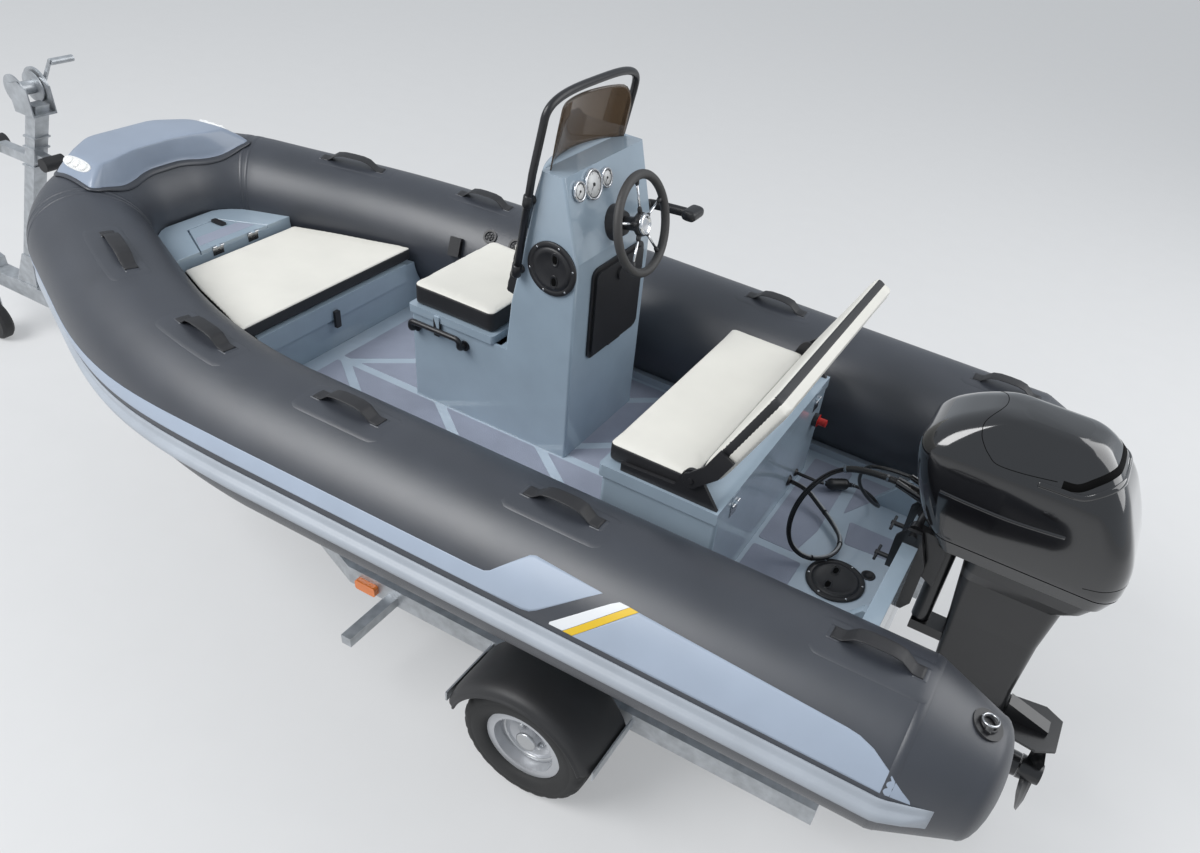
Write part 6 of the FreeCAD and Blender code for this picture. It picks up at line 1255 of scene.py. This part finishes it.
# Mudguards: round shells with a soft shoulder and a rolled lip; profile rows are (place across, radius)
GUARD_PROFILE = [
    (0.645, 0.2900), (0.650, 0.2918), (0.800, 0.2918), (0.832, 0.2905), (0.853, 0.2865), (0.868, 0.2800),
    (0.8765, 0.2720), (0.8795, 0.2635), (0.8815, 0.2590), (0.8860, 0.2560), (0.8875, 0.2520), (0.8850, 0.2485),
    (0.8800, 0.2480), (0.8760, 0.2520), (0.8740, 0.2600), (0.8700, 0.2690), (0.8640, 0.2760), (0.8500, 0.2815),
    (0.8300, 0.2848), (0.8000, 0.2858), (0.650, 0.2858), (0.6455, 0.2870),
]
GUARD_START = 19.3
GUARD_END = 160.7
GUARD_STEPS = 72
guard_parts = []
for side in SIDES:
    rows = []
    for i in range(GUARD_STEPS + 1):
        a = math.radians(GUARD_START + (GUARD_END - GUARD_START) * i / GUARD_STEPS)
        rows.append([boat(AXLE_AT[0] + r * math.cos(a), side * y, AXLE_AT[2] + r * math.sin(a))
                     for y, r in GUARD_PROFILE])
    guard_parts.append(grid(rows, wrap=True, close_ends=True))
guards = add_piece("guard_shells", *join_parts(guard_parts), "guard_plastic", "guard")
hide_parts("mudguards")

# Rims: a rolled step inside the dish, a bright cap ring and four stud nuts with washers
for side, body in ((1.0, "wheel_port"), (-1.0, "wheel_stbd")):
    middle = boat(AXLE_AT[0], side * AXLE_AT[1], AXLE_AT[2])
    parts = [lathe([(0.0515, 0.0378), (0.0560, 0.0385), (0.0600, 0.0360), (0.0612, 0.0300), (0.0602, 0.0240)], middle,
                   (0, side, 0), steps=48)]
    parts.append(lathe([(0.0300, 0.1135), (0.0345, 0.1100), (0.0365, 0.1030), (0.0345, 0.0960), (0.0300, 0.0930)],
                       middle, (0, side, 0), steps=64, wrap_profile=True))
    for i in range(4):
        a = math.pi / 2.0 * i + math.pi / 4.0
        at = middle + Vector((0.050 * math.cos(a), 0.0, 0.050 * math.sin(a)))
        parts.append(lathe([(0.0175, 0.0125), (0.0200, 0.0125), (0.0210, 0.0105), (0.0290, 0.0100), (0.0330, 0.0080),
                            (0.0345, 0.0050), (0.0345, 0.0003)], at, (0, side, 0), steps=6))
    add_piece("rim_trim_" + body, *join_parts(parts), "rim_silver", "zinc", body=body)


# Free cables: the cables' route runs from the engine to the seat locker, the hose's the other way
CABLE_ROUTE = [
    (-1.118, -0.024, 0.376), (-1.030, -0.024, 0.376), (-0.935, -0.008, 0.352), (-0.868, 0.022, 0.262),
    (-0.842, 0.058, 0.158), (-0.862, 0.084, 0.068), (-0.930, 0.078, 0.024), (-1.004, 0.020, 0.024),
    (-1.010, -0.076, 0.025), (-0.946, -0.150, 0.026), (-0.868, -0.204, 0.036), (-0.806, -0.230, 0.060),
    (-0.746, -0.230, 0.060),
]
HOSE_ROUTE = [
    (-0.746, -0.300, 0.052), (-0.792, -0.300, 0.052), (-0.842, -0.322, 0.034), (-0.936, -0.396, 0.032),
    (-1.006, -0.384, 0.026), (-1.056, -0.322, 0.040), (-1.062, -0.240, 0.096), (-1.030, -0.160, 0.172),
    (-0.985, -0.108, 0.262), (-1.010, -0.072, 0.376), (-1.150, -0.068, 0.380),
]


def route_line(route):
    """Points down the smooth curve that has the route's points as its control points."""
    data = bpy.data.curves.new("route", "CURVE")
    data.dimensions = "3D"
    spline = data.splines.new("NURBS")
    spline.points.add(len(route) - 1)
    for point, place in zip(spline.points, route):
        point.co = (*boat(*place), 1.0)
    spline.order_u = 3
    spline.use_endpoint_u = True
    spline.resolution_u = 16
    holder = bpy.data.objects.new("route", data)
    mesh = bpy.data.meshes.new_from_object(holder)
    line = [v.co.copy() for v in mesh.vertices]
    bpy.data.meshes.remove(mesh)
    bpy.data.curves.remove(data)
    return line


def new_mesh(name, verts, faces, mats, tags=None):
    """Mesh object that rides on nothing yet."""
    mesh = bpy.data.meshes.new(name)
    mesh.from_pydata([tuple(v) for v in verts], [], faces)
    obj = bpy.data.objects.new(name, mesh)
    bpy.context.scene.collection.objects.link(obj)
    for key in mats:
        mesh.materials.append(MAT[key])
    for i, face in enumerate(mesh.polygons):
        face.use_smooth = True
        if tags:
            face.material_index = tags[i]
    return obj


# Strands of the cable bundle: distance from its middle, angle round it, radius, material number
STRANDS = [
    (0.0049, 20.0, 0.0041, 0), (0.0052, 110.0, 0.0038, 1), (0.0049, 195.0, 0.0041, 0), (0.0052, 285.0, 0.0036, 0),
]
STRAND_TWIST = 220.0
TIE_SHARES = [0.46, 0.63, 0.80]
SLEEVE_END = 0.17


def strand_lines(line):
    """Each strand's own line round the bundle's line, turning slowly on its way."""
    places = []
    side = None
    for i, p in enumerate(line):
        ahead = heading(line, i)
        side = ahead.orthogonal().normalized() if side is None else (side - ahead * side.dot(ahead)).normalized()
        places.append((p, side, ahead.cross(side)))
    lines = []
    for offset, start, radius, tag in STRANDS:
        points = [p + around(side, other, math.radians(start + STRAND_TWIST * i / len(places))) * offset
                  for i, (p, side, other) in enumerate(places)]
        lines.append((points, radius, tag))
    return lines


def line_length(line):
    """Length of a line of points."""
    return sum((b - a).length for a, b in zip(line[:-1], line[1:]))


def ribbed(line, low, high, pitch):
    """Points and radii of a ribbed sleeve along a line."""
    points = []
    radii = []
    for a, b in zip(line[:-1], line[1:]):
        count = max(1, round((b - a).length / pitch * 4))
        for i in range(count):
            points.append(a.lerp(b, i / count))
            radii.append(high if len(points) % 4 < 2 else low)
    return points, radii


def point_at(line, distance):
    """Place on a line at a distance from its start."""
    for a, b in zip(line[:-1], line[1:]):
        step = (b - a).length
        if distance <= step:
            return a.lerp(b, distance / step)
        distance -= step
    return line[-1]


def split_line(line, distance):
    """The line up to a distance from its start, and the rest."""
    count = 1
    while line_length(line[:count + 1]) < distance:
        count += 1
    cut = point_at(line, distance)
    return line[:count] + [cut], [cut] + line[count:]


def cable_bundle():
    """Control cables: a ribbed sleeve at the engine, then tied strands to the seat locker."""
    tail, line = split_line(route_line(CABLE_ROUTE), SLEEVE_END)
    parts = []
    tags = []
    for points, radius, tag in strand_lines(line):
        part = tube_along(points, radius, sides=10)
        parts.append(part)
        tags.extend([tag] * len(part[1]))
    for share in TIE_SHARES:
        i = int(share * (len(line) - 1))
        ahead = (line[i + 1] - line[i - 1]).normalized()
        part = tube_along([line[i] - ahead * 0.0025, line[i] + ahead * 0.0025], 0.0098, sides=20)
        parts.append(part)
        tags.extend([0] * len(part[1]))
    obj = new_mesh("cable_loop", *join_parts(parts), ["cord", "pale_cord"], tags)
    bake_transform(obj)
    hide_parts("control_cables")
    points, radii = ribbed(tail, 0.0102, 0.0112, 0.006)
    parts = [tube_along(points, radii, sides=20)]
    tags = [0] * len(parts[0][1])
    for distance in (0.030, SLEEVE_END - 0.006):
        ring = tube_along([point_at(tail, distance - 0.004), point_at(tail, distance + 0.004)], 0.0126, sides=24)
        parts.append(ring)
        tags.extend([1] * len(ring[1]))
    sleeve = new_mesh("cable_sleeve", *join_parts(parts), ["cord", "stainless"], tags)
    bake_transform(sleeve)
    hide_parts("control_cables")


HOSE_TAIL = 0.13
BULB_END = [(-0.050, 0.0062), (-0.0498, 0.0085), (-0.043, 0.0090), (-0.040, 0.0130), (-0.034, 0.0185)]
BULB_RIBS = [(-0.030 + 0.006 * i, 0.0212 if i % 2 else 0.0200) for i in range(11)]
BULB_PROFILE = BULB_END + BULB_RIBS + [(-along, r) for along, r in reversed(BULB_END)]


def fuel_hose():
    """Fuel hose from the seat locker to the engine, with its primer bulb and clips."""
    tail, line = split_line(list(reversed(route_line(HOSE_ROUTE))), HOSE_TAIL)
    obj = new_mesh("fuel_hose", *tube_along(line, 0.006, sides=14), ["cord"])
    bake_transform(obj)
    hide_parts("fuel_line")
    end = new_mesh("fuel_hose_end", *tube_along(tail, 0.006, sides=14), ["cord"])
    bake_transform(end)
    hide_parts("fuel_line")
    middle = (boat(*HOSE_ROUTE[2]) + boat(*HOSE_ROUTE[3])) / 2.0
    nearest = min(range(len(line)), key=lambda i: (line[i] - middle).length)
    at = line_length(line[:nearest + 1])
    parts = [tube_along([point_at(line, at + along) for along, _ in BULB_PROFILE], [r for _, r in BULB_PROFILE],
                        sides=32)]
    tags = [0] * len(parts[0][1])
    for along in (-0.062, -0.054, 0.054):
        ring = tube_along([point_at(line, at + along - 0.002), point_at(line, at + along + 0.002)], 0.0088, sides=24)
        parts.append(ring)
        tags.extend([1] * len(ring[1]))
    bulb = new_mesh("primer_bulb", *join_parts(parts), ["cord", "stainless"], tags)
    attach(bulb, "boat")


cable_bundle()
fuel_hose()


# Studio: a large soft key, a weaker fill, a pale world and a pale floor that glows a little where it is looked at
def add_light(name, at, size, power):
    data = bpy.data.lights.new(name, "AREA")
    data.size = size
    data.energy = power
    lamp = bpy.data.objects.new(name, data)
    lamp.location = at
    lamp.rotation_euler = (-Vector(at)).to_track_quat("-Z", "Y").to_euler()
    bpy.context.scene.collection.objects.link(lamp)


add_light("key", (3.0, 5.0, 7.0), 5.0, 620.0)
add_light("fill", (-6.0, -3.0, 5.0), 6.0, 260.0)
world = bpy.data.worlds.new("world")
bpy.context.scene.world = world
world.use_nodes = True
SKY_COLOR = (0.80, 0.86, 0.93, 1.0)
SKY_STRENGTH = 0.62
FLOOR_SIZE = 60.0
GLOW_COLOR = (0.80, 0.81, 0.82, 1.0)
GLOW_SHARE = 0.38
world.node_tree.nodes["Background"].inputs["Color"].default_value = SKY_COLOR
world.node_tree.nodes["Background"].inputs["Strength"].default_value = SKY_STRENGTH
bpy.context.scene.view_settings.view_transform = "Standard"
bpy.ops.mesh.primitive_plane_add(size=FLOOR_SIZE)
floor = bpy.context.object
paper = surface("studio_floor", (0.66, 0.66, 0.66), 0.8, scale=20.0, bump=0.02, mottle=0.01)
floor.data.materials.append(paper)
tree = paper.node_tree
seen = tree.nodes.new("ShaderNodeLightPath")
glow = tree.nodes.new("ShaderNodeEmission")
glow.inputs["Color"].default_value = GLOW_COLOR
rays = [(seen, kind) for kind in ("Is Camera Ray", "Is Glossy Ray", "Is Transmission Ray")]
for _ in range(2):
    either = tree.nodes.new("ShaderNodeMath")
    either.operation = "MAXIMUM"
    for i, (node, out) in enumerate((rays.pop(), rays.pop())):
        tree.links.new(node.outputs[out], either.inputs[i])
    rays.append((either, "Value"))
share = tree.nodes.new("ShaderNodeMath")
share.operation = "MULTIPLY"
share.inputs[1].default_value = GLOW_SHARE
link(paper, either, "Value", share, 0)
blend = tree.nodes.new("ShaderNodeMixShader")
link(paper, share, "Value", blend, "Fac")
tree.links.new(tree.nodes["Principled BSDF"].outputs["BSDF"], blend.inputs[1])
tree.links.new(glow.outputs["Emission"], blend.inputs[2])
link(paper, blend, "Shader", tree.nodes["Material Output"], "Surface")
